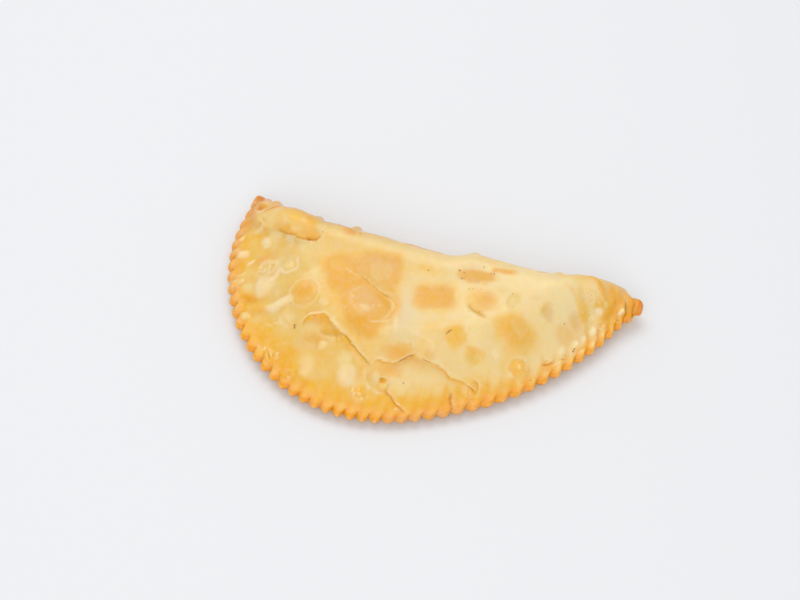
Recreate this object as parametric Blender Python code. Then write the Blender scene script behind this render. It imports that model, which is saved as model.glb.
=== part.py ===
# Cheburek: a fried half-moon turnover with a fluted seam
#
# A round of dough is folded over its filling, sealed along the curved edge with a fluted wheel and fried
# until the crust puffs and blisters. It is uncut, so it is one closed solid. Units are metres, +Z is up.
# The fold runs along X at the back and the seam bows towards -Y. The origin is on the surface that the
# turnover rests on, under the middle of its box.

import math

import bmesh
import bpy
import numpy as np

NAME = "cheburek"
MM = 0.001

# Outline, as seen from above
HALF_LENGTH = 0.1030      # from the middle of the fold to each tip
BELLY_DEPTH = 0.0005      # how much deeper the seam's bow is than a half round
BELLY_SKEW = 0.0121       # how far it leans towards the left tip
BELLY_SWELL = 0.0012      # how far it swells in its middle and flattens towards both tips
SEAM_WAVER = 0.0006       # waver of the hand-led wheel
FLAT_PLACE = 76.0         # where the seam is flatter, in degrees around from the right tip
FLAT_WIDTH = 16.0
FLAT_DEPTH = 0.0014
FOLD_LINE = ((-103, 0), (-90, -3.8), (-78, -7.8), (-64, -9.3), (-40, -9.2), (0, -9.3), (8, -9), (17, -5.2),
             (30, -4.6), (44, -4.6), (56, -3.8), (66, -1.6), (90, 2.7), (103, 0))    # mm
BOX_MIDDLE = (-0.0004, -0.0523)   # of the whole piece, from the middle of the line between the tips

# Fluted seam
TEETH = 48                # pitches of the wheel from tip to tip, 6.9 mm each
PITCH_DRIFT = (0.38, 0.07, -0.09, -0.32)   # in teeth, for 1, 2, 3 and 4 half waves along the seam
TOOTH_DEPTH = 0.0030
TOOTH_UNEVEN = 0.16       # share by which the depth varies from tooth to tooth
TOOTH_SHALLOW = 0.35      # share by which the teeth are shallower between the belly and the right tip
FLUTE_HEIGHT = 0.0008
TOOTH_ROUND = 2.3         # 1 gives straight-sided teeth, and more gives rounder ones
FLUTE_REACH = 0.0060      # how far the flutes run up the crust
TIP_FLUTE_REACH = 0.0160  # the same at the right tip, where the dough is gathered

# Section, from the seam to the fold
SEAM_HEIGHT = 0.0048      # middle of the seam's thickness above the surface below
SEAM_RISE = 0.0008        # how far the seam lifts and dips along its length
SEAM_THICKNESS = 0.0032
EDGE_ROUND = 0.0030       # width of the rounding of the edge
RIM_REACH = 0.0060        # how far the teeth's notches reach in
SWELL_START = 0.0030      # how far in the pressed rim ends and the crust starts to swell
FOLD_HEIGHT = 0.0090
LEFT_TIP_DROP = 0.0020    # how far the fold's height falls off towards the left tip
FOLD_ROUND = 0.0150       # width of the fold's rounding
FOLD_EDGE = 0.0060        # width over which the dough's own thickness is reached there
PUFF = 0.0170             # how far the top swells above the pressed rim
PUFF_REACH = 0.0470       # how far in it is fully swollen
SAG = 0.0090              # how far the underside hangs below the pressed rim
SAG_REACH = 0.0230

# Tips: the fold ends in a small knob at the left one, the dough swells into beads at both, and both are
# rounded off. A bead has its place on the plan (mm), its reach (mm), its growth, and its lean along X and
# Y (mm). A rounding has its centre and radius (mm).
KNOB_HEIGHT = 0.0010
KNOB_LENGTH = 0.0075
TIP_BEADS = ((-99, -3, 5, 0.12, 0.4, 0.3), (-103, -9, 12, 0.0, 1.5, 0.0), (97, -5, 7, 0.36, 1.0, -1.6),
             (101, -7, 6, 0.0, 2.6, -1.2))
TIP_ROUNDS = ((-98.9, -3.2, 4.7), (99.1, -5.2, 3.4))

# Roll of dough beside the left tip, with the sharp crease along its front. All in millimetres.
ROLL_LINE = ((-93, -11), (-84, -15.2), (-76, -17), (-68, -20))
ROLL_RADIUS = 9.5
ROLL_HEIGHT = 2.1
ROLL_HOLLOW = (-74, -35, 44, 34, -8, -4.2)  # sunken crust around it, given as a blister is

# Cracks across the top, where the crust to the right of the path's course steps down: path (mm), step and
# reach (mm). The step slopes down over STEP_SLOPE (mm) and fades out over STEP_FADE (mm) at both ends.
STEP_FADE = 8.0
STEP_SLOPE = 3.0
BEND_BLEND = 1.5          # mm over which one piece of a path hands over to the next, inside its bends
STEPS = (
    (((-50, -69), (-46, -66), (-40, -65), (-36.5, -67), (-29, -73), (-19.5, -80.5), (-15, -83.5)), 1.1, 10),
    (((-10, -78.7), (-3.3, -77.5), (6, -70.4), (10, -71), (18.3, -71.3), (25.6, -73.2), (39, -75)), 1.1, 10),
    (((-38, -40), (-29, -41), (-20, -46), (-12.5, -49.5), (-8.5, -55), (-6.3, -66)), 0.9, 12),
    (((79, -33), (79, -25), (75.5, -20), (71.5, -16), (67, -12), (65, -5)), 0.8, 8),
)

# Raised folds: path (mm), half width and height (mm)
RIDGES = (
    (((69, -2.5), (74, -2.5), (78, -4), (82, -7), (83.5, -9.5)), 2.5, 1.4),
    (((90, 1), (89, -7), (86, -15), (85, -20)), 2.2, 1.0),
    (((95, 0), (95.5, -6), (93, -12)), 1.8, 0.8),
    (((-80, -65.5), (-76, -64.8), (-71.5, -64.5)), 2.2, 1.1),
    (((-95, -16), (-91.5, -19.5), (-88, -22.5)), 1.8, 1.0),
)

# Blisters and dents on top: place (mm), length and width (mm), turn (degrees), height (mm)
BLISTERS = (
    (-30, -54, 46, 38, 30, 1.3),
    (-98.5, -36, 10, 7, 10, 1.3),
    (-85.5, -29.5, 6.5, 5.5, 0, 0.9),
    (-84.5, -39.5, 9, 6, 20, 1.2),
    (-78.5, -54, 13, 15, -20, 1.2),
    (-69.5, -42.5, 10, 9, 0, 1.2),
    (-56.5, -56.5, 15, 15, 0, 1.1),
    (-66.5, -63, 15, 6, 27, 1.1),
    (-85, -61.5, 10, 6, -15, -1.0),
    (-82.5, -70, 5.5, 5.5, 0, 1.0),
    (-46.5, -67.3, 11, 7, 12, 1.4),
    (-37.5, -79, 6, 6, 0, 0.8),
    (-42, -91, 10, 10, 0, 0.9),
    (-23.5, -89, 11, 11, 0, 1.1),
    (-62.8, -87.5, 8, 6, -60, 1.1),
    (-52.5, -95.5, 6, 6, 0, 1.1),
    (-14.3, -93.5, 8.5, 8, 0, 1.5),
    (-8, -87.5, 13, 12, 0, -1.2),
    (-4.2, -87.5, 6, 6, 0, 1.9),
    (6, -40, 21, 13, 12, 0.5),
    (49, -43.7, 19, 14, 0, 0.6),
    (33, -50.5, 14, 13, 0, 0.5),
    (33.5, -62, 9, 8, 0, -0.5),
    (55.3, -57.6, 10, 9, 0, 1.6),
    (80, -11.5, 16, 10, -30, 1.2),
    (84, -25.2, 5, 6, 0, 0.9),
    (77.8, -35, 6, 5.5, 0, 0.8),
    (71.8, -42, 6, 5, 0, 0.8),
    (-94.5, -9.5, 9, 5, -10, 1.2),
)

# Small puffs and dips along the back of the fold: place along X (mm), length (mm), height (mm)
FOLD_PUFFS = ((-95.5, 7, 1.1), (-89, 8, 2.0), (-77, 7, 1.2), (-71.2, 7, -3.8), (-63.7, 7, 2.4), (-49, 5, -0.8),
              (-43.5, 7, 2.6), (-14, 14, 0.6), (17.5, 7, 1.6), (49.5, 9, -1.6), (60, 8, 1.4), (73, 11, -0.6),
              (96.5, 7, -1.4))
FOLD_PUFF_WIDTH = 9.0

# Hollows in the underside between the spots that rest: place (mm), length and width (mm), depth (mm)
HOLLOWS = ((-62, -52, 44, 30, 1.6), (-18, -28, 38, 18, 1.2), (-10, -78, 48, 24, 1.5), (42, -38, 40, 24, 1.4),
           (66, -26, 22, 16, 1.0))

# Mesh resolution
COLUMNS_PER_TOOTH = 2
TOP_ROWS = 36
UNDER_ROWS = 14
RIM_ROWS = 5              # rows next to the seam, above and below, with twice the columns
TABLE_POINTS = 4001
WELD = 1e-6
STEP = 1e-3               # for the slope of the form, in teeth and in ring
CRUST_COLOUR = (0.86, 0.58, 0.23, 1.0)
CRUST_ROUGHNESS = 0.45


def ease(value, start, end):
    """Smooth rise from 0 at start to 1 at end."""
    t = np.clip((value - start) / (end - start), 0.0, 1.0)
    return t * t * (3.0 - 2.0 * t)


def quarter_round(value):
    """Quarter of a circle: 0 at 0, rising steeply at first and level at 1."""
    return np.sqrt(1.0 - (1.0 - np.clip(value, 0.0, 1.0)) ** 2)


def curve_through(knots, x):
    """Height at x of a smooth curve through a few (x, height) knots."""
    knot_x, knot_y = np.array(knots, float).T
    slope = np.gradient(knot_y, knot_x)
    i = np.clip(np.searchsorted(knot_x, x) - 1, 0, len(knots) - 2)
    span = knot_x[i + 1] - knot_x[i]
    t = np.clip((x - knot_x[i]) / span, 0.0, 1.0)
    straight = knot_y[i] + (knot_y[i + 1] - knot_y[i]) * ease(t, 0.0, 1.0)
    return straight + span * t * (1.0 - t) * (slope[i] * (1.0 - t) - slope[i + 1] * t)


def outline(tooth):
    """Seam point, outward direction and fold point at each place along the seam, counted in teeth."""
    turn = np.linspace(0.0, math.pi, TABLE_POINTS)
    radius = HALF_LENGTH + BELLY_DEPTH * np.sin(turn) - BELLY_SKEW * np.sin(2 * turn)
    radius -= BELLY_SWELL * np.sin(3 * turn) + SEAM_WAVER * np.cos(5 * turn)
    radius -= FLAT_DEPTH * np.exp(-((np.degrees(turn) - FLAT_PLACE) / FLAT_WIDTH) ** 2)
    line = np.stack([radius * np.cos(turn), -radius * np.sin(turn)], -1)
    step = np.gradient(line, axis=0)
    length = np.hypot(step[:, 0], step[:, 1])
    arc = np.cumsum(length) - length[0]
    arc /= arc[-1]
    share = tooth / TEETH
    waves = sum(size * np.sin((n + 1) * math.pi * share) for n, size in enumerate(PITCH_DRIFT))
    share = np.clip(share + waves / TEETH, 0.0, 1.0)
    seam = np.stack([np.interp(share, arc, line[:, axis]) for axis in (0, 1)], -1)
    across = np.stack([-step[:, 1], step[:, 0]], -1) / length[:, None]
    outward = np.stack([np.interp(share, arc, across[:, axis]) for axis in (0, 1)], -1)
    fold_x = line[0, 0] + (line[-1, 0] - line[0, 0]) * share
    even_x = HALF_LENGTH * (1.0 - 2.0 * share)
    to_tip = HALF_LENGTH + even_x
    knob = KNOB_HEIGHT * quarter_round(4 * to_tip / KNOB_LENGTH) * ease(to_tip, KNOB_LENGTH, KNOB_LENGTH / 3)
    fold = np.stack([fold_x, curve_through(FOLD_LINE, even_x / MM) * MM + knob], -1)
    return share, seam, outward, fold


def notch_depth(tooth):
    """0 at the tip of a tooth and -1 between two teeth. There are no notches at the very ends of the seam."""
    from_tip = 2.0 * np.abs(tooth - np.round(tooth))
    return -from_tip ** TOOTH_ROUND * ease(tooth, 0.7, 1.3) * ease(TEETH - tooth, 0.7, 1.3)


def rounded_tips(plan):
    """The plan with the corners at both tips rounded off."""
    for centre_x, centre_y, radius in TIP_ROUNDS:
        centre = np.array([centre_x * MM, centre_y * MM])
        offset = plan - centre
        reach = np.maximum(np.linalg.norm(offset, axis=1), WELD)
        corner = (offset[:, 0] * centre_x > 0.0) & (offset[:, 1] > 0.0)
        plan = centre + offset * np.where(corner, np.minimum(1.0, radius * MM / reach), 1.0)[:, None]
    return plan


def crust_form(tooth, ring):
    """Smooth puffed crust. Ring is 0 at the seam, 1 at the fold, and 2 back at the seam from below."""
    share, seam, outward, fold = outline(tooth)
    across = np.where(ring <= 1.0, ring, 2.0 - ring)
    width = np.hypot(fold[:, 0] - seam[:, 0], fold[:, 1] - seam[:, 1])
    rim = np.minimum(RIM_REACH, 0.3 * width)
    inset = rim * (1.0 - (1.0 - np.clip(across / 0.3, 0.0, 1.0)) ** 2)
    inset += (width - rim) * (0.5 - 0.5 * np.cos(math.pi * np.clip((across - 0.15) / 0.85, 0.0, 1.0)))
    to_fold = width - inset

    notch = notch_depth(tooth)
    plan = seam + (fold - seam) * (inset / np.maximum(width, WELD))[:, None]
    depth = TOOTH_DEPTH * (0.5 + 0.5 * ease(share, 0.92, 0.72))
    depth *= 1.0 + TOOTH_UNEVEN * (np.sin(40.0 * share) + np.sin(97.0 * share))
    depth *= 1.0 - TOOTH_SHALLOW * np.exp(-((share - 0.32) / 0.13) ** 2)
    plan += outward * (notch * depth * (1.0 - ease(inset, 0.0, RIM_REACH)))[:, None]
    plan = rounded_tips(plan)

    half = SEAM_THICKNESS / 2
    middle = SEAM_HEIGHT + SEAM_RISE * np.sin(9.0 * share + 1.0)
    fold_height = FOLD_HEIGHT - LEFT_TIP_DROP * ease(share, 0.93, 1.0)
    middle += (fold_height - middle) * ease(to_fold, 0.030, 0.0)
    swell = quarter_round(to_fold / FOLD_ROUND)
    thickness = quarter_round(inset / EDGE_ROUND) * quarter_round(to_fold / FOLD_EDGE)
    reach = FLUTE_REACH + (TIP_FLUTE_REACH - FLUTE_REACH) * ease(share, 0.22, 0.0)
    flute = FLUTE_HEIGHT * (0.3 + 0.7 * ease(share, 0.50, 0.25)) * (1.0 + 2.0 * notch)
    flute *= ease(inset, reach, 0.0)
    top = middle + (half + flute) * thickness + PUFF * swell * ease(inset, SWELL_START, PUFF_REACH)
    under = middle - (half + 0.5 * flute) * thickness - SAG * swell * ease(inset, SWELL_START, SAG_REACH)
    height = np.where(ring <= 1.0, top, np.maximum(under, 0.0))
    return np.column_stack([plan, height]), np.minimum(inset, to_fold)


def dome(x, y, centre_x, centre_y, length, width, turn, height):
    """Round or oval rise with a soft foot, in the units of x and y."""
    c, s = math.cos(math.radians(turn)), math.sin(math.radians(turn))
    along = (c * (x - centre_x) + s * (y - centre_y)) / (length / 2)
    aside = (c * (y - centre_y) - s * (x - centre_x)) / (width / 2)
    return height * np.clip(1.0 - along ** 2 - aside ** 2, 0.0, 1.0) ** 1.5


def path_distance(x, y, path):
    """Distance to a path of straight pieces, on which side (1 is to the left of its course, -1 to the right),
    and how far along it the nearer of its ends is."""
    aways, sides, alongs = [], [], []
    run = 0.0
    for (x0, y0), (x1, y1) in zip(path[:-1], path[1:]):
        dx, dy = x1 - x0, y1 - y0
        length = math.hypot(dx, dy)
        t = np.clip(((x - x0) * dx + (y - y0) * dy) / length ** 2, 0.0, 1.0)
        aways.append(np.hypot(x - x0 - t * dx, y - y0 - t * dy))
        sides.append(np.sign(dx * (y - y0) - dy * (x - x0)))
        alongs.append(run + t * length)
        run += length
    closest = np.argmin(aways, axis=0)[None]
    nearest = np.min(aways, axis=0)
    share = np.exp((nearest - aways) / BEND_BLEND)
    along = (share * alongs).sum(axis=0) / share.sum(axis=0)
    return nearest, np.take_along_axis(np.array(sides), closest, 0)[0], np.minimum(along, run - along)


def top_relief(x, y):
    """Height of everything that stands out of the top crust or sinks into it. All in millimetres."""
    relief = np.zeros(len(x))
    away, _, _ = path_distance(x, y, ROLL_LINE)
    relief += ROLL_HEIGHT * np.clip(1.0 - (away / ROLL_RADIUS) ** 2, 0.0, 1.0)
    relief += dome(x, y, *ROLL_HOLLOW) * ease(away - ROLL_RADIUS, -2.0, 1.5)
    for path, step, reach in STEPS:
        away, side, to_end = path_distance(x, y, path)
        lower = -step * np.exp(-away / reach) * ease(side * away, 0.0, -STEP_SLOPE)
        relief += (lower + 0.3 * step * np.exp(-(away / 2.5) ** 2)) * ease(to_end, 0.0, STEP_FADE)
    for path, half_width, height in RIDGES:
        away, _, _ = path_distance(x, y, path)
        relief += height * np.exp(-(away / half_width) ** 2)
    for blister in BLISTERS:
        relief += dome(x, y, *blister)
    return relief


def back_relief(x, y):
    """Height of the small puffs along the back of the fold, in millimetres."""
    fold_y = curve_through(FOLD_LINE, x)
    puffs = [(place, 0.0, length, FOLD_PUFF_WIDTH, 0.0, height) for place, length, height in FOLD_PUFFS]
    return sum(dome(x, y - fold_y, *puff) for puff in puffs)


def under_relief(x, y):
    """Depth of the hollows in the underside, in millimetres."""
    return sum(dome(x, y, *hollow[:4], 0.0, -hollow[4]) for hollow in HOLLOWS)


def outward_normals(tooth, ring):
    """Direction out of the smooth crust at each place, from two short steps along it."""
    ahead, behind = (crust_form(np.clip(tooth + step, 0, TEETH), ring)[0] for step in (STEP, -STEP))
    above, below = (crust_form(tooth, np.clip(ring + step, 0, 2))[0] for step in (STEP, -STEP))
    normal = np.cross(above - below, ahead - behind)
    return normal / np.maximum(np.linalg.norm(normal, axis=1), 1e-12)[:, None]


def crust_points(tooth, ring):
    """Every point of the crust, with its relief, in its own frame."""
    points, to_edge = crust_form(tooth, ring)
    x, y = points[:, 0] / MM, points[:, 1] / MM
    top = ring <= 1.0
    relief = np.where(top, top_relief(x, y), under_relief(x, y)) * ease(to_edge, 0.0005, 0.006)
    relief += back_relief(x, y) * np.where(top, 1.0, 0.4)
    points += outward_normals(tooth, ring) * (relief * MM)[:, None]
    for place_x, place_y, reach, growth, lean_x, lean_y in TIP_BEADS:
        centre = np.array([place_x * MM, place_y * MM, SEAM_HEIGHT])
        offset = points - centre
        near = np.exp(-(np.linalg.norm(offset, axis=1) / (reach * MM)) ** 2)
        points += offset * (growth * near)[:, None]
        points[:, 0] += lean_x * MM * near
        points[:, 1] += lean_y * MM * near
    points[:, 2] = np.maximum(points[:, 2], 0.0)
    points[:, :2] -= BOX_MIDDLE
    return points


def build_crust():
    """Grid bent into a closed ring. It runs from the right tip to the left, so its faces are turned round."""
    columns = TEETH * COLUMNS_PER_TOOTH
    rows = TOP_ROWS + UNDER_ROWS
    bm = bmesh.new()
    bmesh.ops.create_grid(bm, x_segments=columns, y_segments=rows, size=1.0)
    rim = 1.0 - (RIM_ROWS - 0.5) * 2.0 / rows
    level = [edge for edge in bm.edges if abs(edge.verts[0].co.y - edge.verts[1].co.y) < WELD]
    level = [edge for edge in level if abs(edge.verts[0].co.y) > rim]
    bmesh.ops.subdivide_edges(bm, edges=level, cuts=1)
    grid = np.array([vert.co for vert in bm.verts])
    tooth = (grid[:, 0] + 1.0) / 2.0 * TEETH
    row = (grid[:, 1] + 1.0) / 2.0 * rows
    ring = np.where(row <= TOP_ROWS, row / TOP_ROWS, 1.0 + (row - TOP_ROWS) / UNDER_ROWS)
    for vert, point in zip(bm.verts, crust_points(tooth, np.clip(ring, 0.0, 2.0))):
        vert.co = point
    bmesh.ops.remove_doubles(bm, verts=bm.verts, dist=WELD)
    bmesh.ops.reverse_faces(bm, faces=bm.faces)
    mesh = bpy.data.meshes.new(NAME)
    bm.to_mesh(mesh)
    bm.free()
    mesh.shade_smooth()
    return mesh


def crust_material():
    material = bpy.data.materials.new("crust")
    material.use_nodes = True
    shader = material.node_tree.nodes["Principled BSDF"]
    shader.inputs["Base Color"].default_value = CRUST_COLOUR
    shader.inputs["Roughness"].default_value = CRUST_ROUGHNESS
    shader.inputs["Metallic"].default_value = 0.0
    return material


def main():
    for old in list(bpy.data.objects):
        bpy.data.objects.remove(old, do_unlink=True)
    collection = bpy.data.collections.new(NAME)
    bpy.context.scene.collection.children.link(collection)
    cheburek = bpy.data.objects.new(NAME, build_crust())
    cheburek.data.materials.append(crust_material())
    collection.objects.link(cheburek)


main()
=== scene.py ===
import math

import bmesh
import bpy
import numpy as np
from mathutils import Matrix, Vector


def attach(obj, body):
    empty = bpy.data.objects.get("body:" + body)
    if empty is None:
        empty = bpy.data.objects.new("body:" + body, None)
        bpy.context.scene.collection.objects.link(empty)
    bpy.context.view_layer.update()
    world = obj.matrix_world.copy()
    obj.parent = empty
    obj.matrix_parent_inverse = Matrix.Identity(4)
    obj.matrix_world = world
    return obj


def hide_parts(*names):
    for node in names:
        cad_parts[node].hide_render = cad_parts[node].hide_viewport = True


# The looks of a cheburek: one finely meshed crust over the fixed solid, with its cracks, blisters,
# flutes and browning. Places on the plan are in millimetres: x along the fold, y below 0 towards
# the seam, and 0, 0 in the middle between the two tips, as in the solid's own construction.

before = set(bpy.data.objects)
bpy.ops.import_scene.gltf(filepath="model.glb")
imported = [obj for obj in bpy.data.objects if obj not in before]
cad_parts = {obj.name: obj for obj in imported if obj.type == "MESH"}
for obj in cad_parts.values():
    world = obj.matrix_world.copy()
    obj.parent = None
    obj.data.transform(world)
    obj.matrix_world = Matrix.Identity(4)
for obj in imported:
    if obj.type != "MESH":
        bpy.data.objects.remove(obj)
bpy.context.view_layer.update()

NODE = "cheburek"
MM = 0.001
WELD = 1e-6               # points closer than this, in metres, count as one

# Outline and section of the solid: lengths in metres, places in millimetres, shares of the seam
HALF_LENGTH = 0.1030
BELLY_DEPTH = 0.0005
BELLY_SKEW = 0.0121
BELLY_SWELL = 0.0012
SEAM_WAVER = 0.0006
FLAT_PLACE = 76.0         # degrees round the seam from the right tip
FLAT_WIDTH = 16.0
FLAT_DEPTH = 0.0014
FOLD_LINE = ((-103, 0), (-90, -3.8), (-78, -7.8), (-64, -9.3), (-40, -9.2), (0, -9.3), (8, -9),
             (17, -5.2), (30, -4.6), (44, -4.6), (56, -3.8), (66, -1.6), (90, 2.7), (103, 0))
BOX_MIDDLE = (-0.0004, -0.0523)
TEETH = 48
PITCH_DRIFT = (0.38, 0.07, -0.09, -0.32)   # teeth that the even pitch is off by, in slow waves
TOOTH_DEPTH = 0.0030
TOOTH_UNEVEN = 0.16
TOOTH_SHALLOW = 0.35
SHALLOW_PLACE = 0.32
SHALLOW_WIDTH = 0.13
NOTCH_START = (0.7, 1.3)  # teeth from an end of the seam over which the notches set in
FLUTE_HEIGHT = 0.0008
TOOTH_ROUND = 2.3
FLUTE_REACH = 0.0060
TIP_FLUTE_REACH = 0.0160
SEAM_HEIGHT = 0.0048
SEAM_RISE = 0.0008
SEAM_THICKNESS = 0.0032
EDGE_ROUND = 0.0030
RIM_REACH = 0.0060
RIM_SHARE = 0.3           # of the way to the fold that the rim takes up at most
RIM_ROWS = 0.3            # of the rows of faces that lie on the rim
BELLY_START = 0.15        # of the rows after which the way to the fold is shared out evenly
SWELL_START = 0.0030
FOLD_HEIGHT = 0.0090
FOLD_RISE_REACH = 0.030
LEFT_TIP_DROP = 0.0020
FOLD_ROUND = 0.0150
FOLD_EDGE = 0.0060
PUFF = 0.0170
PUFF_REACH = 0.0470
SAG = 0.0090
SAG_REACH = 0.0230
KNOB_HEIGHT = 0.0010
KNOB_LENGTH = 0.0075
# Swellings at the tips: place, reach, growth, and how far they lean along x and y
TIP_BEADS = ((-99, -3, 5, 0.12, 0.4, 0.3), (-103, -9, 12, 0.0, 1.5, 0.0),
             (97, -5, 7, 0.36, 1.0, -1.6), (101, -7, 6, 0.0, 2.6, -1.2))
TIP_ROUNDS = ((-98.9, -3.2, 4.7), (99.1, -5.2, 3.4))   # place and radius
TIP_BEND = 0.007          # length over which the shoulder beside a tip is eased

# Main relief of the solid, in millimetres. Steps in the crust: path, height, how far the lower side
# reaches. Ridges: path, half width, height. Blisters: place, length, width, turn, height.
STEP_FADE = 8.0
STEP_SLOPE = 3.0
STEP_LIP = 0.3            # of a step's height that its upper edge stands up
STEP_LIP_WIDTH = 2.5
BEND_BLEND = 1.5
CRACK_FADE = 2.5
ROLL_LINE = ((-93, -11), (-84, -15.2), (-76, -17), (-68, -20))
ROLL_RADIUS = 9.5
ROLL_HEIGHT = 2.1
ROLL_HOLLOW = (-74, -35, 44, 34, -8, -4.2)
STEPS = (
    (((-50, -69), (-46, -66), (-40, -65), (-36.5, -67), (-29, -73), (-19.5, -80.5), (-15, -83.5)),
     1.1, 10),
    (((-10, -78.7), (-3.3, -77.5), (6, -70.4), (10, -71), (18.3, -71.3), (25.6, -73.2), (39, -75)),
     1.1, 10),
    (((-38, -40), (-29, -41), (-20, -46), (-12.5, -49.5), (-8.5, -55), (-6.3, -66)), 0.9, 12),
    (((79, -33), (79, -25), (75.5, -20), (71.5, -16), (67, -12), (65, -5)), 0.8, 8),
)
RIDGES = (
    (((69, -2.5), (74, -2.5), (78, -4), (82, -7), (83.5, -9.5)), 2.5, 1.4),
    (((90, 1), (89, -7), (86, -15), (85, -20)), 2.2, 1.0),
    (((95, 0), (95.5, -6), (93, -12)), 1.8, 0.8),
    (((-80, -65.5), (-76, -64.8), (-71.5, -64.5)), 2.2, 1.1),
    (((-95, -16), (-91.5, -19.5), (-88, -22.5)), 1.8, 1.0),
)
BLISTERS = (
    (-30, -54, 46, 38, 30, 1.3),
    (-98.5, -36, 10, 7, 10, 1.3),
    (-85.5, -29.5, 6.5, 5.5, 0, 0.9),
    (-84.5, -39.5, 9, 6, 20, 1.2),
    (-78.5, -54, 13, 15, -20, 1.2),
    (-69.5, -42.5, 10, 9, 0, 1.2),
    (-56.5, -56.5, 15, 15, 0, 1.1),
    (-66.5, -63, 15, 6, 27, 1.1),
    (-85, -61.5, 10, 6, -15, -1.0),
    (-82.5, -70, 5.5, 5.5, 0, 1.0),
    (-46.5, -67.3, 11, 7, 12, 1.4),
    (-37.5, -79, 6, 6, 0, 0.8),
    (-42, -91, 10, 10, 0, 0.9),
    (-23.5, -89, 11, 11, 0, 1.1),
    (-62.8, -87.5, 8, 6, -60, 1.1),
    (-52.5, -95.5, 6, 6, 0, 1.1),
    (-14.3, -93.5, 8.5, 8, 0, 1.5),
    (-8, -87.5, 13, 12, 0, -1.2),
    (-4.2, -87.5, 6, 6, 0, 1.9),
    (6, -40, 21, 13, 12, 0.5),
    (49, -43.7, 19, 14, 0, 0.6),
    (33, -50.5, 14, 13, 0, 0.5),
    (33.5, -62, 9, 8, 0, -0.5),
    (55.3, -57.6, 10, 9, 0, 1.6),
    (80, -11.5, 16, 10, -30, 1.2),
    (84, -25.2, 5, 6, 0, 0.9),
    (77.8, -35, 6, 5.5, 0, 0.8),
    (71.8, -42, 6, 5, 0, 0.8),
    (-94.5, -9.5, 9, 5, -10, 1.2),
)
# Puffs along the back of the fold: place along x, length, height
FOLD_PUFFS = ((-95.5, 7, 1.1), (-89, 8, 2.0), (-77, 7, 1.2), (-71.2, 7, -3.8), (-63.7, 7, 2.4),
              (-49, 5, -0.8), (-43.5, 7, 2.6), (-14, 14, 0.6), (17.5, 7, 1.6), (49.5, 9, -1.6),
              (60, 8, 1.4), (73, 11, -0.6), (96.5, 7, -1.4))
FOLD_PUFF_WIDTH = 9.0
UNDER_PUFF_SHARE = 0.4    # of a puff that shows on the underside
# Hollows in the underside: place, length, width, depth
HOLLOWS = ((-62, -52, 44, 30, 1.6), (-18, -28, 38, 18, 1.2), (-10, -78, 48, 24, 1.5),
           (42, -38, 40, 24, 1.4), (66, -26, 22, 16, 1.0))

# Colours, as linear reflectances
CREAM = (0.87, 0.70, 0.37)
BUTTER = (0.81, 0.56, 0.19)
PALE = (0.86, 0.66, 0.30)
WHITE = (0.89, 0.71, 0.41)
# Pale froth of popped blisters, also used as painted glint
FROTH_AND_GLINT = (0.92, 0.66, 0.36)
MILK = (0.79, 0.64, 0.35)
HONEY = (0.87, 0.52, 0.065)
GOLD = (0.85, 0.43, 0.030)
PEACH = (0.80, 0.43, 0.060)
AMBER = (0.82, 0.345, 0.015)
RUST = (0.68, 0.22, 0.012)
TOAST = (0.77, 0.50, 0.22)
RUSSET = (0.72, 0.38, 0.13)
OLIVE = (0.76, 0.53, 0.13)
CRACK_GOLD = (0.74, 0.36, 0.0)
CRACK_AMBER = (0.70, 0.26, 0.0)
CRACK_TAN = (0.70, 0.42, 0.08)
CRACK_OLIVE = (0.62, 0.34, 0.0)
CRACK_BROWN = (0.54, 0.22, 0.0)
CRACK_DARK = (0.40, 0.14, 0.0)
SCORCH = (0.34, 0.105, 0.0)


def bow(x, y, reach_x, reach_y, start, end):
    """Points along a stretch of an oval, from one angle to another, in degrees."""
    turns = np.radians(np.linspace(start, end, max(3, int(abs(end - start) / 20) + 1)))
    return tuple((x + reach_x * math.cos(turn), y + reach_y * math.sin(turn)) for turn in turns)
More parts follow.
